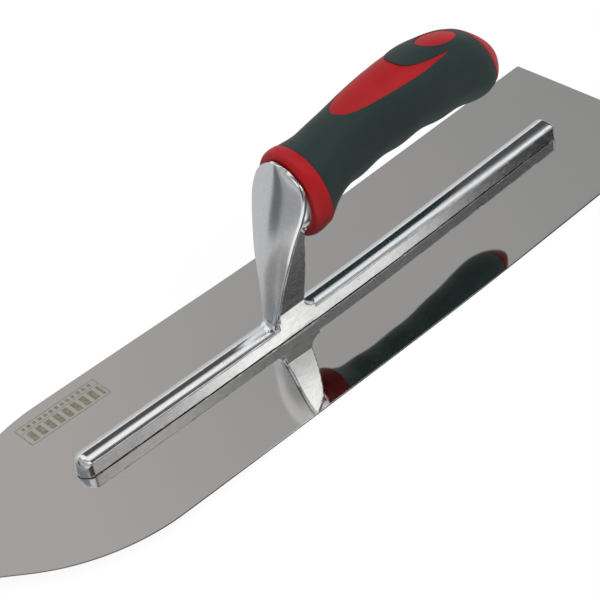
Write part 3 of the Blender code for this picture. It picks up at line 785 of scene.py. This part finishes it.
def build_core():
    """Collar and inner core in one closed form, then the three raised lands."""
    count = 120
    angles = 2 * math.pi * np.arange(count) / count
    dense = []
    columns = [np.array([r[k] for r in COLLAR]) for k in range(5)]
    # collar: a rounded ring, from the front edge over the crown to the grip
    t = np.linspace(0, 1, 26)
    knots = np.linspace(0, 1, len(COLLAR))
    pieces = [table_curve([(kn, v) for kn, v in zip(knots, col)], 1)(t) for col in columns]
    for x, zc, h, w, lean in zip(*pieces):
        dense.append(section(x, zc, h, w, lean, angles))
    dense.append(section(GRIP_FRONT + FIT, 76.8, 22.9, 19.5, 8.5, angles))
    inner = []
    for x in (GRIP_FRONT + FIT, -17.0, -20.0):
        inner.append(handle_ring(x, angles, SKIN, False))
    for x in np.linspace(-24.0, CAP_X + 1.2, 34):
        inner.append(handle_ring(x, angles, SKIN, False))
    rings = dense + inner
    # bore for the rod, widening to the nut's pocket, and the boss socket
    core = mesh_object("handle_core_form", np.concatenate(rings), tube_faces(len(rings), count))
    length = float(np.linalg.norm(ROD_B - ROD_A))
    seat = length - 12.0
    socket_rings = [
        section(x, z, h, w, 0.0, angles)
        for x, z, h, w in ((1.0, 75.0, 19.5 + FIT, 16.5 + FIT), (-4.5, 75.0, 19.5 + FIT, 16.5 + FIT),
                           (-12.0 - FIT, 75.4, 19.5 + FIT, 16.5 + FIT))
    ]
    # the boss is elliptical, so its socket is too
    socket_rings = []
    for x, z, h, w in ((1.0, 75.0, 19.5 + FIT, 16.5 + FIT), (-4.5, 75.0, 19.5 + FIT, 16.5 + FIT),
                       (-12.0 - FIT, 75.4, 19.5 + FIT, 16.5 + FIT)):
        socket_rings.append(np.stack([np.full(count, x), w * np.cos(angles), z + h * np.sin(angles)], 1))
    socket = mesh_object("boss_socket", np.concatenate(socket_rings), tube_faces(3, count), smooth=False)
    cut(core, [
        socket,
        rod_cylinder("rod_bore", 5, length + 20, ROD_D / 2 + 0.3),
        rod_cylinder("nut_pocket", seat, 45, 9.4),
    ])
    core.data.shade_smooth()
    core.data.set_sharp_from_angle(angle=math.radians(50))

    # teardrop land with its two tails
    outer = np.array(OUTER)
    inner_line = np.array(INNER)[::-1]

    def half_outer(x):
        return np.interp(x, outer[::-1, 0], outer[::-1, 1])

    def half_inner(x):
        return np.interp(x, inner_line[::-1, 0], inner_line[::-1, 1])

    gap = FIT
    head_x = [-40.4 - gap - k for k in (0.0, 0.05, 0.15, 0.3, 0.5, 0.8, 1.2, 1.8, 2.6)]
    head_x += list(np.linspace(-44.2, -81.3 + gap, 46))
    rows = []
    for x in head_x:
        w = max(half_outer(min(x, -40.45)) - gap, 0.02)
        rows.append((x, np.linspace(-w, w, 41)))
    pieces = [land("inlay_head", rows, 0.18, 3.3)]
    tail_x = [-81.3 + gap - k for k in (0.0, 0.08, 0.2, 0.4, 0.7, 1.1, 1.7, 2.5)]
    tail_x += list(np.linspace(-84.6, -110.9, 34))
    for side in (1, -1):
        rows = []
        for x in tail_x:
            lo = half_inner(x) + gap if x < -81.4 else 0.0
            lo = max(lo, 0.0)
            hi = max(half_outer(x) - gap, lo + 0.03)
            ys = np.linspace(lo, hi, 15)
            rows.append((x, ys if side > 0 else -ys[::-1]))
        pieces.append(land(f"inlay_tail_{'l' if side > 0 else 'r'}", rows, 0.18, 3.3))
    # oval land
    rows = []
    for a in np.linspace(0.03, math.pi - 0.03, 44):
        x = OVAL_X + (OVAL_A - gap) * math.cos(a)
        w = (OVAL_B - gap) * math.sin(a)
        rows.append((x, np.linspace(-w, w, 25)))
    pieces.append(land("oval_land", rows, 0.18, 3.3))
    return core, pieces


def build_cap():
    count = 120
    angles = 2 * math.pi * np.arange(count) / count
    start = CAP_X - FIT
    stations = [(start, 0.45), (start - 0.1, 0.14), (start - 0.4, 0.02)]
    stations += [(x, 0.0) for x in np.linspace(start - 1.0, -151.3, 44)]
    rings = [handle_ring(x, angles, inset, False) for x, inset in stations]
    tip = rings[-1]
    centre = tip.mean(0)
    for shrink, back in ((0.6, 0.16), (0.25, 0.24)):
        rings.append(centre + (tip - centre) * shrink + np.array([-back, 0, 0]))
    cap = mesh_object("end_cap_form", np.concatenate(rings), tube_faces(len(rings), count))
    length = float(np.linalg.norm(ROD_B - ROD_A))
    cut(cap, [rod_cylinder("spigot", length - 1.6, 10.6, 9.0)], "UNION")
    cut(cap, [rod_cylinder("recess", length - 8, 12.0, 6.0)])
    cap.data.shade_smooth()
    cap.data.set_sharp_from_angle(angle=math.radians(50))
    return cap


# ----------------------------------------------------------------- materials
class Graph:
    """A small helper to write node materials in short lines."""

    def __init__(self, name):
        self.mat = bpy.data.materials.new(name)
        self.mat.use_nodes = True
        self.tree = self.mat.node_tree
        self.bsdf = self.tree.nodes["Principled BSDF"]
        self.coords = self.node("ShaderNodeTexCoord").outputs["Object"]

    def node(self, kind, **props):
        n = self.tree.nodes.new(kind)
        for k, v in props.items():
            setattr(n, k, v)
        return n

    def put(self, socket, value):
        if hasattr(value, "is_linked") or hasattr(value, "links"):
            self.tree.links.new(value, socket)
        elif value is not None:
            socket.default_value = value

    def scaled(self, sx, sy, sz, vector=None):
        n = self.node("ShaderNodeMapping")
        self.put(n.inputs["Vector"], vector or self.coords)
        n.inputs["Scale"].default_value = (sx, sy, sz)
        return n.outputs[0]

    def noise(self, scale, detail=3.0, rough=0.5, vector=None, distortion=0.0):
        n = self.node("ShaderNodeTexNoise")
        self.put(n.inputs["Vector"], vector or self.coords)
        n.inputs["Scale"].default_value = scale
        n.inputs["Detail"].default_value = detail
        n.inputs["Roughness"].default_value = rough
        n.inputs["Distortion"].default_value = distortion
        return n.outputs["Fac"]

    def voronoi(self, scale, vector=None, feature="F1", out="Distance"):
        n = self.node("ShaderNodeTexVoronoi", feature=feature)
        self.put(n.inputs["Vector"], vector or self.coords)
        n.inputs["Scale"].default_value = scale
        return n.outputs[out]

    def math(self, operation, a, b=None, c=None, clamp=False):
        n = self.node("ShaderNodeMath", operation=operation, use_clamp=clamp)
        self.put(n.inputs[0], a)
        if b is not None:
            self.put(n.inputs[1], b)
        if c is not None:
            self.put(n.inputs[2], c)
        return n.outputs[0]

    def remap(self, value, a, b, c, d, smooth=False):
        n = self.node("ShaderNodeMapRange")
        if smooth:
            n.interpolation_type = "SMOOTHSTEP"
        self.put(n.inputs[0], value)
        for i, v in enumerate((a, b, c, d), 1):
            self.put(n.inputs[i], v)
        return n.outputs[0]

    def mix(self, fac, a, b):
        n = self.node("ShaderNodeMix", data_type="RGBA")
        self.put(n.inputs[0], fac)
        self.put(n.inputs[6], a)
        self.put(n.inputs[7], b)
        return n.outputs[2]

    def xyz(self, vector=None):
        n = self.node("ShaderNodeSeparateXYZ")
        self.put(n.inputs[0], vector or self.coords)
        return n.outputs

    def normal(self):
        return self.node("ShaderNodeNewGeometry").outputs["Normal"]

    def bump(self, height, strength, distance, chain=None):
        n = self.node("ShaderNodeBump")
        n.inputs["Strength"].default_value = strength
        n.inputs["Distance"].default_value = distance
        self.put(n.inputs["Height"], height)
        if chain is not None:
            self.put(n.inputs["Normal"], chain)
        return n.outputs[0]

    def set(self, **values):
        names = {
            "color": "Base Color", "rough": "Roughness", "metal": "Metallic",
            "normal": "Normal", "coat": "Coat Weight", "coat_rough": "Coat Roughness",
            "sheen": "Sheen Weight", "sheen_rough": "Sheen Roughness",
            "specular": "Specular IOR Level", "aniso": "Anisotropic", "tangent": "Tangent",
            "ior": "IOR",
        }
        for k, v in values.items():
            self.put(self.bsdf.inputs[names[k]], v)
        return self.mat


def rgb(r, g, b):
    return (r, g, b, 1.0)


def steel_material():
    g = Graph("polished_blade_steel")
    grain = g.noise(1.0, 2.0, 0.6, g.scaled(60.0, 5200.0, 5200.0))
    fine = g.noise(1.0, 2.0, 0.5, g.scaled(180.0, 16000.0, 16000.0))
    cloud = g.noise(9.0, 3.0, 0.5)
    waves = g.noise(1.0, 1.0, 0.4, g.scaled(7.0, 12.0, 9.0))
    hair = g.noise(1.0, 1.0, 0.5, g.scaled(16.0, 1500.0, 1500.0), 0.3)
    hair = g.remap(hair, 0.70, 0.76, 0.0, 1.0)
    color = g.mix(g.remap(cloud, 0.3, 0.7, 0, 1), rgb(0.578, 0.56, 0.54), rgb(0.598, 0.58, 0.56))
    color = g.mix(g.remap(grain, 0.35, 0.7, 0.0, 0.10), color, rgb(0.50, 0.49, 0.475))
    rough = g.math("ADD", g.remap(grain, 0.3, 0.7, 0.022, 0.045), g.remap(cloud, 0.35, 0.7, 0.0, 0.01))
    rough = g.math("ADD", rough, g.math("MULTIPLY", hair, 0.05))
    p = g.xyz()
    # a plain etched panel: a border, a rule and two rows of plain bars
    def box(x0, x1, y0, y1):
        ux = g.math("ABSOLUTE", g.math("SUBTRACT", p[0], (x0 + x1) / 2))
        uy = g.math("ABSOLUTE", g.math("SUBTRACT", p[1], (y0 + y1) / 2))
        return g.math("MULTIPLY", g.math("LESS_THAN", ux, (x1 - x0) / 2), g.math("LESS_THAN", uy, (y1 - y0) / 2))

    def bars(period, share):
        phase = g.math("FRACT", g.math("DIVIDE", g.math("SUBTRACT", p[0], 0.0978), period))
        return g.math("LESS_THAN", phase, share)

    border = g.math("SUBTRACT", box(0.0977, 0.1467, -0.0502, -0.0346), box(0.0982, 0.1462, -0.0497, -0.0351))
    rule = box(0.0982, 0.1462, -0.0454, -0.0450)
    big = g.math("MULTIPLY", box(0.0995, 0.1450, -0.0440, -0.0363), bars(0.00535, 0.62))
    small = g.math("MULTIPLY", box(0.1010, 0.1436, -0.0487, -0.0464), bars(0.0034, 0.55))
    etch = g.math("MAXIMUM", g.math("MAXIMUM", border, rule), g.math("MAXIMUM", big, small))
    worn = g.remap(g.noise(700.0, 3.0), 0.35, 0.6, 0.55, 1.0)
    etch = g.math("MULTIPLY", etch, worn)
    up = g.xyz(g.normal())[2]
    etch = g.math("MULTIPLY", etch, g.math("GREATER_THAN", up, 0.5))
    color = g.mix(etch, color, rgb(0.30, 0.285, 0.17))
    rough = g.math("ADD", rough, g.math("MULTIPLY", etch, 0.25))
    # painted shade: the blade's edge faces are painted dark and made rougher, standing in for the dark edge line they
    # show
    rim = g.math("LESS_THAN", g.math("ABSOLUTE", up), 0.5)
    color = g.mix(rim, color, rgb(0.16, 0.155, 0.15))
    rough = g.math("ADD", rough, g.math("MULTIPLY", rim, 0.2))
    # painted shade: the blade under the bar, where the gap lies in shadow, is painted near black and made rougher
    beyond = g.math("ADD", g.math("MAXIMUM", g.math("SUBTRACT", p[0], 0.1392), 0.0),
                    g.math("MAXIMUM", g.math("SUBTRACT", -0.1854, p[0]), 0.0))
    reach = g.math("SQRT", g.math("ADD", g.math("MULTIPLY", beyond, beyond), g.math("MULTIPLY", p[1], p[1])))
    under = g.math("MULTIPLY", g.math("LESS_THAN", reach, 0.0060), g.math("GREATER_THAN", p[0], -0.1880))
    under = g.math("MULTIPLY", under, g.math("GREATER_THAN", up, 0.5))
    color = g.mix(under, color, rgb(0.01, 0.01, 0.01))
    rough = g.math("ADD", rough, g.math("MULTIPLY", under, 0.5))
    n1 = g.bump(waves, 0.04, 0.0012)
    n2 = g.bump(g.math("ADD", grain, fine), 0.015, 0.00003, n1)
    return g.set(color=color, rough=rough, metal=1.0, normal=n2)


def casting_material():
    g = Graph("cast_aluminium_finish")
    p = g.xyz()
    n = g.xyz(g.normal())
    # the flat sides keep more casting skin than the polished crown and plate
    side = g.remap(g.math("ABSOLUTE", n[1]), 0.80, 0.97, 0.0, 1.0)
    streak = g.noise(1.0, 3.0, 0.6, g.scaled(120.0, 2400.0, 2400.0))
    scratch = g.noise(1.0, 2.0, 0.6, g.scaled(900.0, 900.0, 260.0))
    mottle = g.noise(900.0, 4.0, 0.6)
    coarse = g.noise(260.0, 3.0, 0.55)
    specks = g.remap(g.noise(1300.0, 2.0, 0.5), 0.66, 0.74, 0.0, 1.0)
    pits = g.remap(g.voronoi(420.0), 0.0, 0.14, 1.0, 0.0, True)
    rare = g.remap(g.noise(60.0, 2.0), 0.55, 0.66, 0.0, 1.0)
    pits = g.math("MULTIPLY", pits, rare)
    color = g.mix(g.remap(mottle, 0.35, 0.65, 0, 1), rgb(0.80, 0.82, 0.84), rgb(0.88, 0.895, 0.905))
    grey = g.math("MULTIPLY", side, g.remap(coarse, 0.42, 0.62, 0.0, 0.30))
    color = g.mix(grey, color, rgb(0.62, 0.64, 0.66))
    color = g.mix(g.math("MULTIPLY", pits, 0.55), color, rgb(0.20, 0.21, 0.22))
    color = g.mix(g.math("MULTIPLY", specks, g.math("MULTIPLY", side, 0.35)), color, rgb(0.97, 0.97, 0.96))
    # painted shade: low faces turned forward, at the foot and the plate's lower part, are painted a darker bluish
    # grey
    foot = g.math("MULTIPLY", g.remap(n[0], 0.55, 0.75, 0.0, 1.0), g.remap(p[2], 0.022, 0.034, 1.0, 0.0))
    color = g.mix(g.math("MULTIPLY", foot, 0.8), color, rgb(0.62, 0.69, 0.76))
    # painted shade: the bar's downward faces next to the blade are painted near black
    base = g.math("MULTIPLY", g.math("LESS_THAN", n[2], -0.9), g.math("LESS_THAN", p[2], 0.006))
    color = g.mix(base, color, rgb(0.01, 0.01, 0.01))
    # painted shade: hollows found by ambient occlusion are painted dark grey
    ao = g.node("ShaderNodeAmbientOcclusion", samples=4, only_local=True)
    ao.inputs["Distance"].default_value = 0.0016
    color = g.mix(g.remap(ao.outputs["AO"], 0.35, 0.8, 0.6, 0.0), color, rgb(0.08, 0.085, 0.09))
    face = g.math("MULTIPLY", g.remap(n[0], 0.30, 0.55, 0.0, 1.0), g.remap(p[2], 0.013, 0.020, 0.0, 1.0))
    rough = g.math("ADD", g.remap(streak, 0.3, 0.7, 0.08, 0.13), g.math("MULTIPLY", side, g.remap(mottle, 0.35, 0.65, 0.01, 0.05)))
    rough = g.math("ADD", rough, g.math("MULTIPLY", face, g.remap(coarse, 0.3, 0.7, 0.06, 0.09)))
    rough = g.math("ADD", rough, g.math("MULTIPLY", face, g.remap(p[2], 0.040, 0.062, 0.10, 0.0)))
    quiet = g.math("SUBTRACT", 1.0, g.math("MULTIPLY", face, 0.9))
    b1 = g.bump(coarse, 0.05, 0.0002)
    b2 = g.bump(g.math("MULTIPLY", mottle, g.math("MULTIPLY", quiet, g.math("ADD", g.math("MULTIPLY", side, 0.3), 0.1))), 0.10, 0.00010, b1)
    b3 = g.bump(g.math("MULTIPLY", quiet, g.math("ADD", streak, g.math("MULTIPLY", scratch, 0.5))), 0.06, 0.00005, b2)
    b4 = g.bump(g.math("MULTIPLY", pits, -1.0), 0.4, 0.0002, b3)
    return g.set(color=color, rough=rough, metal=1.0, normal=b4)


def red_material():
    g = Graph("red_moulded_plastic")
    cloud = g.noise(60.0, 3.0)
    spark = g.noise(2600.0, 3.0, 0.6)
    orange = g.noise(480.0, 2.0)
    color = g.mix(g.remap(cloud, 0.3, 0.7, 0, 1), rgb(0.280, 0.0012, 0.0036), rgb(0.325, 0.0018, 0.0052))
    # painted shade: downward-facing red is painted darker
    below = g.remap(g.xyz(g.normal())[2], 0.05, -0.55, 0.0, 0.75)
    color = g.mix(below, color, rgb(0.060, 0.0040, 0.0060))
    rough = g.remap(spark, 0.3, 0.7, 0.36, 0.52)
    b = g.bump(orange, 0.05, 0.0003)
    b = g.bump(spark, 0.12, 0.00006, b)
    return g.set(color=color, rough=rough, normal=b, specular=0.26)


def grip_material():
    g = Graph("dark_soft_grip_rubber")
    grain = g.noise(3400.0, 3.0, 0.65)
    skin = g.voronoi(2300.0)
    dust = g.noise(35.0, 5.0, 0.65)
    flecks = g.remap(g.noise(1500.0, 2.0), 0.70, 0.78, 0.0, 0.35)
    color = g.mix(g.remap(dust, 0.3, 0.75, 0, 1), rgb(0.0090, 0.0185, 0.0185), rgb(0.0140, 0.0265, 0.0260))
    color = g.mix(flecks, color, rgb(0.045, 0.058, 0.058))
    # painted light: downward-facing grip is painted lighter and greener, standing in for light bounced up from the
    # blade
    below = g.remap(g.xyz(g.normal())[2], -0.15, -0.7, 0.0, 1.0)
    color = g.mix(below, color, rgb(0.0230, 0.0520, 0.0500))
    rough = g.remap(grain, 0.3, 0.7, 0.50, 0.68)
    b = g.bump(g.math("ADD", grain, g.math("MULTIPLY", skin, 0.6)), 0.22, 0.00008)
    return g.set(color=color, rough=rough, normal=b, specular=0.36, sheen=0.05, sheen_rough=0.5)


def plated_material(threads=False):
    g = Graph("zinc_plated_steel_rod" if threads else "zinc_plated_steel")
    cloud = g.noise(220.0, 4.0)
    brushed = g.noise(1.0, 2.0, 0.6, g.scaled(300.0, 4000.0, 4000.0))
    color = g.mix(cloud, rgb(0.58, 0.585, 0.57), rgb(0.68, 0.68, 0.66))
    rough = g.remap(brushed, 0.3, 0.7, 0.22, 0.38)
    b = g.bump(brushed, 0.1, 0.00005)
    if threads:
        p = g.xyz()
        wave = g.math("SINE", g.math("MULTIPLY", p[0], 2 * math.pi / 0.00125))
        b = g.bump(wave, 0.7, 0.0004, b)
    return g.set(color=color, rough=rough, metal=1.0, normal=b)


def rivet_material():
    g = Graph("ground_rivet_steel")
    rings = g.noise(1.0, 2.0, 0.6, g.scaled(90.0, 5200.0, 5200.0))
    cloud = g.noise(500.0, 3.0)
    color = g.mix(cloud, rgb(0.50, 0.49, 0.47), rgb(0.58, 0.57, 0.55))
    return g.set(color=color, rough=g.remap(rings, 0.3, 0.7, 0.14, 0.28), metal=1.0,
                 normal=g.bump(rings, 0.05, 0.00004))


# -------------------------------------------------------------- build pieces
def finish_piece(obj, mat, slot, *nodes):
    obj.data.materials.clear()
    obj.data.materials.append(mat)
    for polygon in obj.data.polygons:
        polygon.material_index = 0
    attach(obj, "root")
    if nodes:
        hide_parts(*nodes)
    return obj


STEEL, ALLOY, RED, GRIP = steel_material(), casting_material(), red_material(), grip_material()
PLATED, ROD, RIVET = plated_material(), plated_material(True), rivet_material()

finish_piece(build_blade(), STEEL, "blade_steel", "blade")
finish_piece(build_casting(), ALLOY, "cast_aluminium", "mounting_casting")
finish_piece(build_grip(), GRIP, "soft_grip", "soft_grip")
core, lands = build_core()
finish_piece(core, RED, "red_plastic", "handle_core")
for piece in lands:
    finish_piece(piece, RED, "red_plastic")
finish_piece(build_cap(), RED, "red_plastic", "end_cap")

for name, mat in [("tang_rod", ROD), ("handle_washer", PLATED), ("handle_nut", PLATED)] + [
    (f"blade_rivet_{i}", RIVET) for i in range(1, 8)
]:
    NODES[name].data.materials.clear()
    NODES[name].data.materials.append(mat)

# --------------------------------------------------------------------- floor
floor_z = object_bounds()[0].z
floor_mesh = bpy.data.meshes.new("floor")
bm = bmesh.new()
bmesh.ops.create_grid(bm, x_segments=2, y_segments=2, size=6.0)
bm.to_mesh(floor_mesh)
bm.free()
floor = bpy.data.objects.new("floor", floor_mesh)
floor.location = (0, 0, floor_z - 0.0001)
SCENE.collection.objects.link(floor)
floor_mat = bpy.data.materials.new("pale_floor")
floor_mat.use_nodes = True
tree = floor_mat.node_tree
for n in list(tree.nodes):
    tree.nodes.remove(n)


class Tree:
    """Short calls for the floor's and the world's node trees."""

    def __init__(self, tree):
        self.tree = tree
        geometry = self.node("ShaderNodeNewGeometry")
        flip = self.node("ShaderNodeVectorMath", operation="SCALE")
        flip.inputs["Scale"].default_value = -1.0
        self.link(geometry.outputs["Incoming"], flip.inputs[0])
        split = self.node("ShaderNodeSeparateXYZ")
        self.link(flip.outputs[0], split.inputs[0])
        self.x, self.y, self.z = split.outputs
        self.path = self.node("ShaderNodeLightPath").outputs

    def node(self, kind, **props):
        n = self.tree.nodes.new(kind)
        for k, v in props.items():
            setattr(n, k, v)
        return n

    def link(self, a, b):
        self.tree.links.new(a, b)

    def math(self, operation, a, b=None, c=None):
        n = self.node("ShaderNodeMath", operation=operation)
        for socket, value in zip(n.inputs, (a, b, c)):
            if hasattr(value, "links"):
                self.link(value, socket)
            elif value is not None:
                socket.default_value = value
        return n.outputs[0]

    def ramp(self, value, a, b, c=0.0, d=1.0):
        """Smooth step of value from a to b, giving c to d."""
        n = self.node("ShaderNodeMapRange", interpolation_type="SMOOTHSTEP")
        self.link(value, n.inputs[0])
        for i, v in enumerate((a, b, c, d), 1):
            n.inputs[i].default_value = v
        return n.outputs[0]

    def band(self, value, a, b, soft):
        return self.math("MULTIPLY", self.ramp(value, a - soft, a + soft),
                         self.ramp(value, b - soft, b + soft, 1.0, 0.0))

    def toward(self, level, mask, target):
        """Moves level to target where mask is 1."""
        n = self.node("ShaderNodeMix", data_type="FLOAT")
        for i, value in ((0, mask), (2, level), (3, target)):
            if hasattr(value, "links"):
                self.link(value, n.inputs[i])
            else:
                n.inputs[i].default_value = value
        return n.outputs[0]

    def choose(self, mask, a, b):
        n = self.node("ShaderNodeMixShader")
        if hasattr(mask, "links"):
            self.link(mask, n.inputs[0])
        else:
            n.inputs[0].default_value = mask
        self.link(a, n.inputs[1])
        self.link(b, n.inputs[2])
        return n.outputs[0]


ft = Tree(tree)
diffuse = ft.node("ShaderNodeBsdfDiffuse")
diffuse.inputs["Color"].default_value = (0.86, 0.86, 0.86, 1)
white = ft.node("ShaderNodeEmission")
white.inputs["Strength"].default_value = 1.0
# painted reflections: for reflected rays the floor glows with set levels by direction, as paper, a dark side and the
# pale front
heading = ft.math("MULTIPLY", ft.math("ARCTAN2", ft.y, ft.x), 180 / math.pi)
seen = ft.math("ADD", 0.54, 0.0)
seen = ft.toward(seen, ft.band(heading, 18.0, 96.0, 8.0), 1.0)
seen = ft.toward(seen, ft.band(heading, 108.0, 172.0, 8.0), 0.10)
low = ft.ramp(ft.z, -0.24, -0.12)
seen = ft.toward(seen, ft.math("MULTIPLY", low, ft.band(heading, -36.0, 18.0, 4.0)), 0.34)
seen = ft.toward(seen, ft.math("MULTIPLY", low, ft.band(heading, -35.0, -14.0, 4.0)), 0.13)
mirror = ft.node("ShaderNodeEmission")
ft.link(seen, mirror.inputs["Strength"])
body = ft.choose(ft.path["Is Glossy Ray"], diffuse.outputs[0], mirror.outputs[0])
body = ft.choose(ft.math("MULTIPLY", ft.path["Is Camera Ray"], 0.93), body, white.outputs[0])
out = ft.node("ShaderNodeOutputMaterial")
ft.link(body, out.inputs["Surface"])
floor_mesh.materials.append(floor_mat)

# --------------------------------------------------------------------- world
world = bpy.data.worlds.new("studio")
SCENE.world = world
world.use_nodes = True
wt = world.node_tree
for n in list(wt.nodes):
    wt.nodes.remove(n)


wo = Tree(wt)
# angle round the tool's long axis: 0 overhead, + towards the left side
turn = wo.math("MULTIPLY", wo.math("ARCTAN2", wo.y, wo.z), 180 / math.pi)
# the ceiling lights run slightly across the tool
rear = wo.ramp(wo.x, -0.42, -0.60)
slant = wo.math("SUBTRACT", turn, wo.math("MULTIPLY", rear, 13.0))
level = wo.ramp(wo.x, -0.62, -0.30, 0.455, 0.615)
level = wo.toward(level, wo.ramp(turn, -57.0, -66.0), 0.80)
level = wo.toward(level, wo.band(turn, -29.5, -10.0, 1.8), 0.075)
level = wo.toward(level, wo.ramp(turn, -14.0, -9.0), 0.075)
# a slim ceiling light, set slightly across the tool
level = wo.toward(level, wo.band(slant, 8.0, 21.5, 4.5), 1.0)
behind = wo.ramp(wo.x, -0.30, -0.22)
ahead = wo.ramp(wo.x, -0.14, -0.04)
level = wo.toward(level, wo.math("MULTIPLY", ahead, wo.ramp(turn, -5.0, -9.0)), 0.86)
level = wo.toward(level, wo.math("MULTIPLY", behind, wo.band(turn, -7.0, 14.0, 3.5)), 1.0)
# a panel beside the lamp, seen again in the blade
mid = wo.ramp(wo.x, -0.57, -0.47, 0.02, 0.24)
mid = wo.math("ADD", mid, wo.math("MULTIPLY", wo.band(wo.x, -0.430, -0.350, 0.04), 0.60))
level = wo.toward(level, wo.band(turn, 35.0, 46.0, 1.6), mid)
# lamp on the viewer's side
glow = wo.ramp(wo.x, -0.55, -0.475, 0.035, 0.62)
spot = wo.math("MULTIPLY", wo.band(wo.x, -0.482, -0.440, 0.035), 2.4)
level = wo.toward(level, wo.band(turn, 45.0, 63.0, 1.6), wo.math("ADD", glow, spot))
level = wo.toward(level, wo.band(turn, 54.5, 66.0, 2.0), 0.90)
level = wo.toward(level, wo.ramp(turn, 66.0, 72.0), 0.30)
shade = wo.math("MULTIPLY", wo.ramp(wo.x, -0.27, -0.20), wo.band(turn, 47.0, 84.0, 4.0))
level = wo.toward(level, shade, 0.07)
level = wo.toward(level, wo.math("MULTIPLY", wo.ramp(wo.x, -0.20, 0.0), wo.band(turn, 27.0, 45.0, 3.0)), 1.0)
# everything ahead of the nose
heading_w = wo.math("MULTIPLY", wo.math("ARCTAN2", wo.y, wo.x), 180 / math.pi)
front = wo.ramp(wo.x, 0.35, 0.65)
level = wo.toward(level, front, 0.54)
low_w = wo.math("MULTIPLY", front, wo.ramp(wo.z, 0.24, 0.16))
level = wo.toward(level, wo.math("MULTIPLY", low_w, wo.band(heading_w, -36.0, 18.0, 4.0)), 0.34)
level = wo.toward(level, wo.math("MULTIPLY", low_w, wo.band(heading_w, -35.0, -14.0, 4.0)), 0.13)
level = wo.toward(level, wo.math("MULTIPLY", front, wo.ramp(wo.z, 0.36, 0.46)), 0.40)

tint = wo.node("ShaderNodeMix", data_type="RGBA")
wo.link(wo.ramp(wo.x, -0.60, -0.34), tint.inputs[0])
tint.inputs[6].default_value = (0.96, 0.99, 1.0, 1)
tint.inputs[7].default_value = (1.0, 0.985, 0.985, 1)
gloss = wo.node("ShaderNodeBackground")
wo.link(level, gloss.inputs["Strength"])
wo.link(tint.outputs[2], gloss.inputs["Color"])
soft = wo.node("ShaderNodeBackground")
soft.inputs["Color"].default_value = (1, 1, 1, 1)
soft.inputs["Strength"].default_value = 0.75
sky = wo.node("ShaderNodeBackground")
sky.inputs["Color"].default_value = (1, 1, 1, 1)
sky.inputs["Strength"].default_value = 1.0
lit = wo.choose(wo.path["Is Glossy Ray"], soft.outputs[0], gloss.outputs[0])
lit = wo.choose(wo.path["Is Camera Ray"], lit, sky.outputs[0])
world_out = wo.node("ShaderNodeOutputWorld")
wo.link(lit, world_out.inputs["Surface"])


# -------------------------------------------------------------------- lights
def softbox(name, location, target, size, power, glossy=True):
    data = bpy.data.lights.new(name, "AREA")
    data.shape = "RECTANGLE"
    data.size, data.size_y = size
    data.energy = power
    lamp = bpy.data.objects.new(name, data)
    lamp.location = location
    lamp.rotation_mode = "QUATERNION"
    lamp.rotation_quaternion = (Vector(target) - Vector(location)).to_track_quat("-Z", "Y")
    lamp.visible_glossy = glossy
    lamp.visible_camera = False
    SCENE.collection.objects.link(lamp)
    return lamp


softbox("key_left", (-0.5, 0.9, 1.3), (0, 0, 0.06), (0.9, 0.9), 11.0, glossy=False)
softbox("top_fill", (-0.1, -0.3, 1.6), (0, 0, 0.06), (1.2, 1.2), 7.0, glossy=False)

# -------------------------------------------------------------------- camera
cam_data = bpy.data.cameras.new("camera")
cam_data.sensor_width = 36.0
cam_data.lens = 111.3823
cam_data.clip_start, cam_data.clip_end = 0.01, 50.0
camera = bpy.data.objects.new("camera", cam_data)
SCENE.collection.objects.link(camera)
camera.matrix_world = Matrix((
    (-0.7179129570854692, -0.5236783011502677, 0.45865239883071224, 0.4260113331338879),
    (0.6803688689658705, -0.3884143300656177, 0.6214760541231656, 0.577939316718645),
    (-0.14730636000397165, 0.7582185338700492, 0.6351421031535647, 0.6037750551824504),
    (0, 0, 0, 1),
))
SCENE.camera = camera
SCENE.view_settings.view_transform = "Standard"
SCENE.view_settings.look = "None"
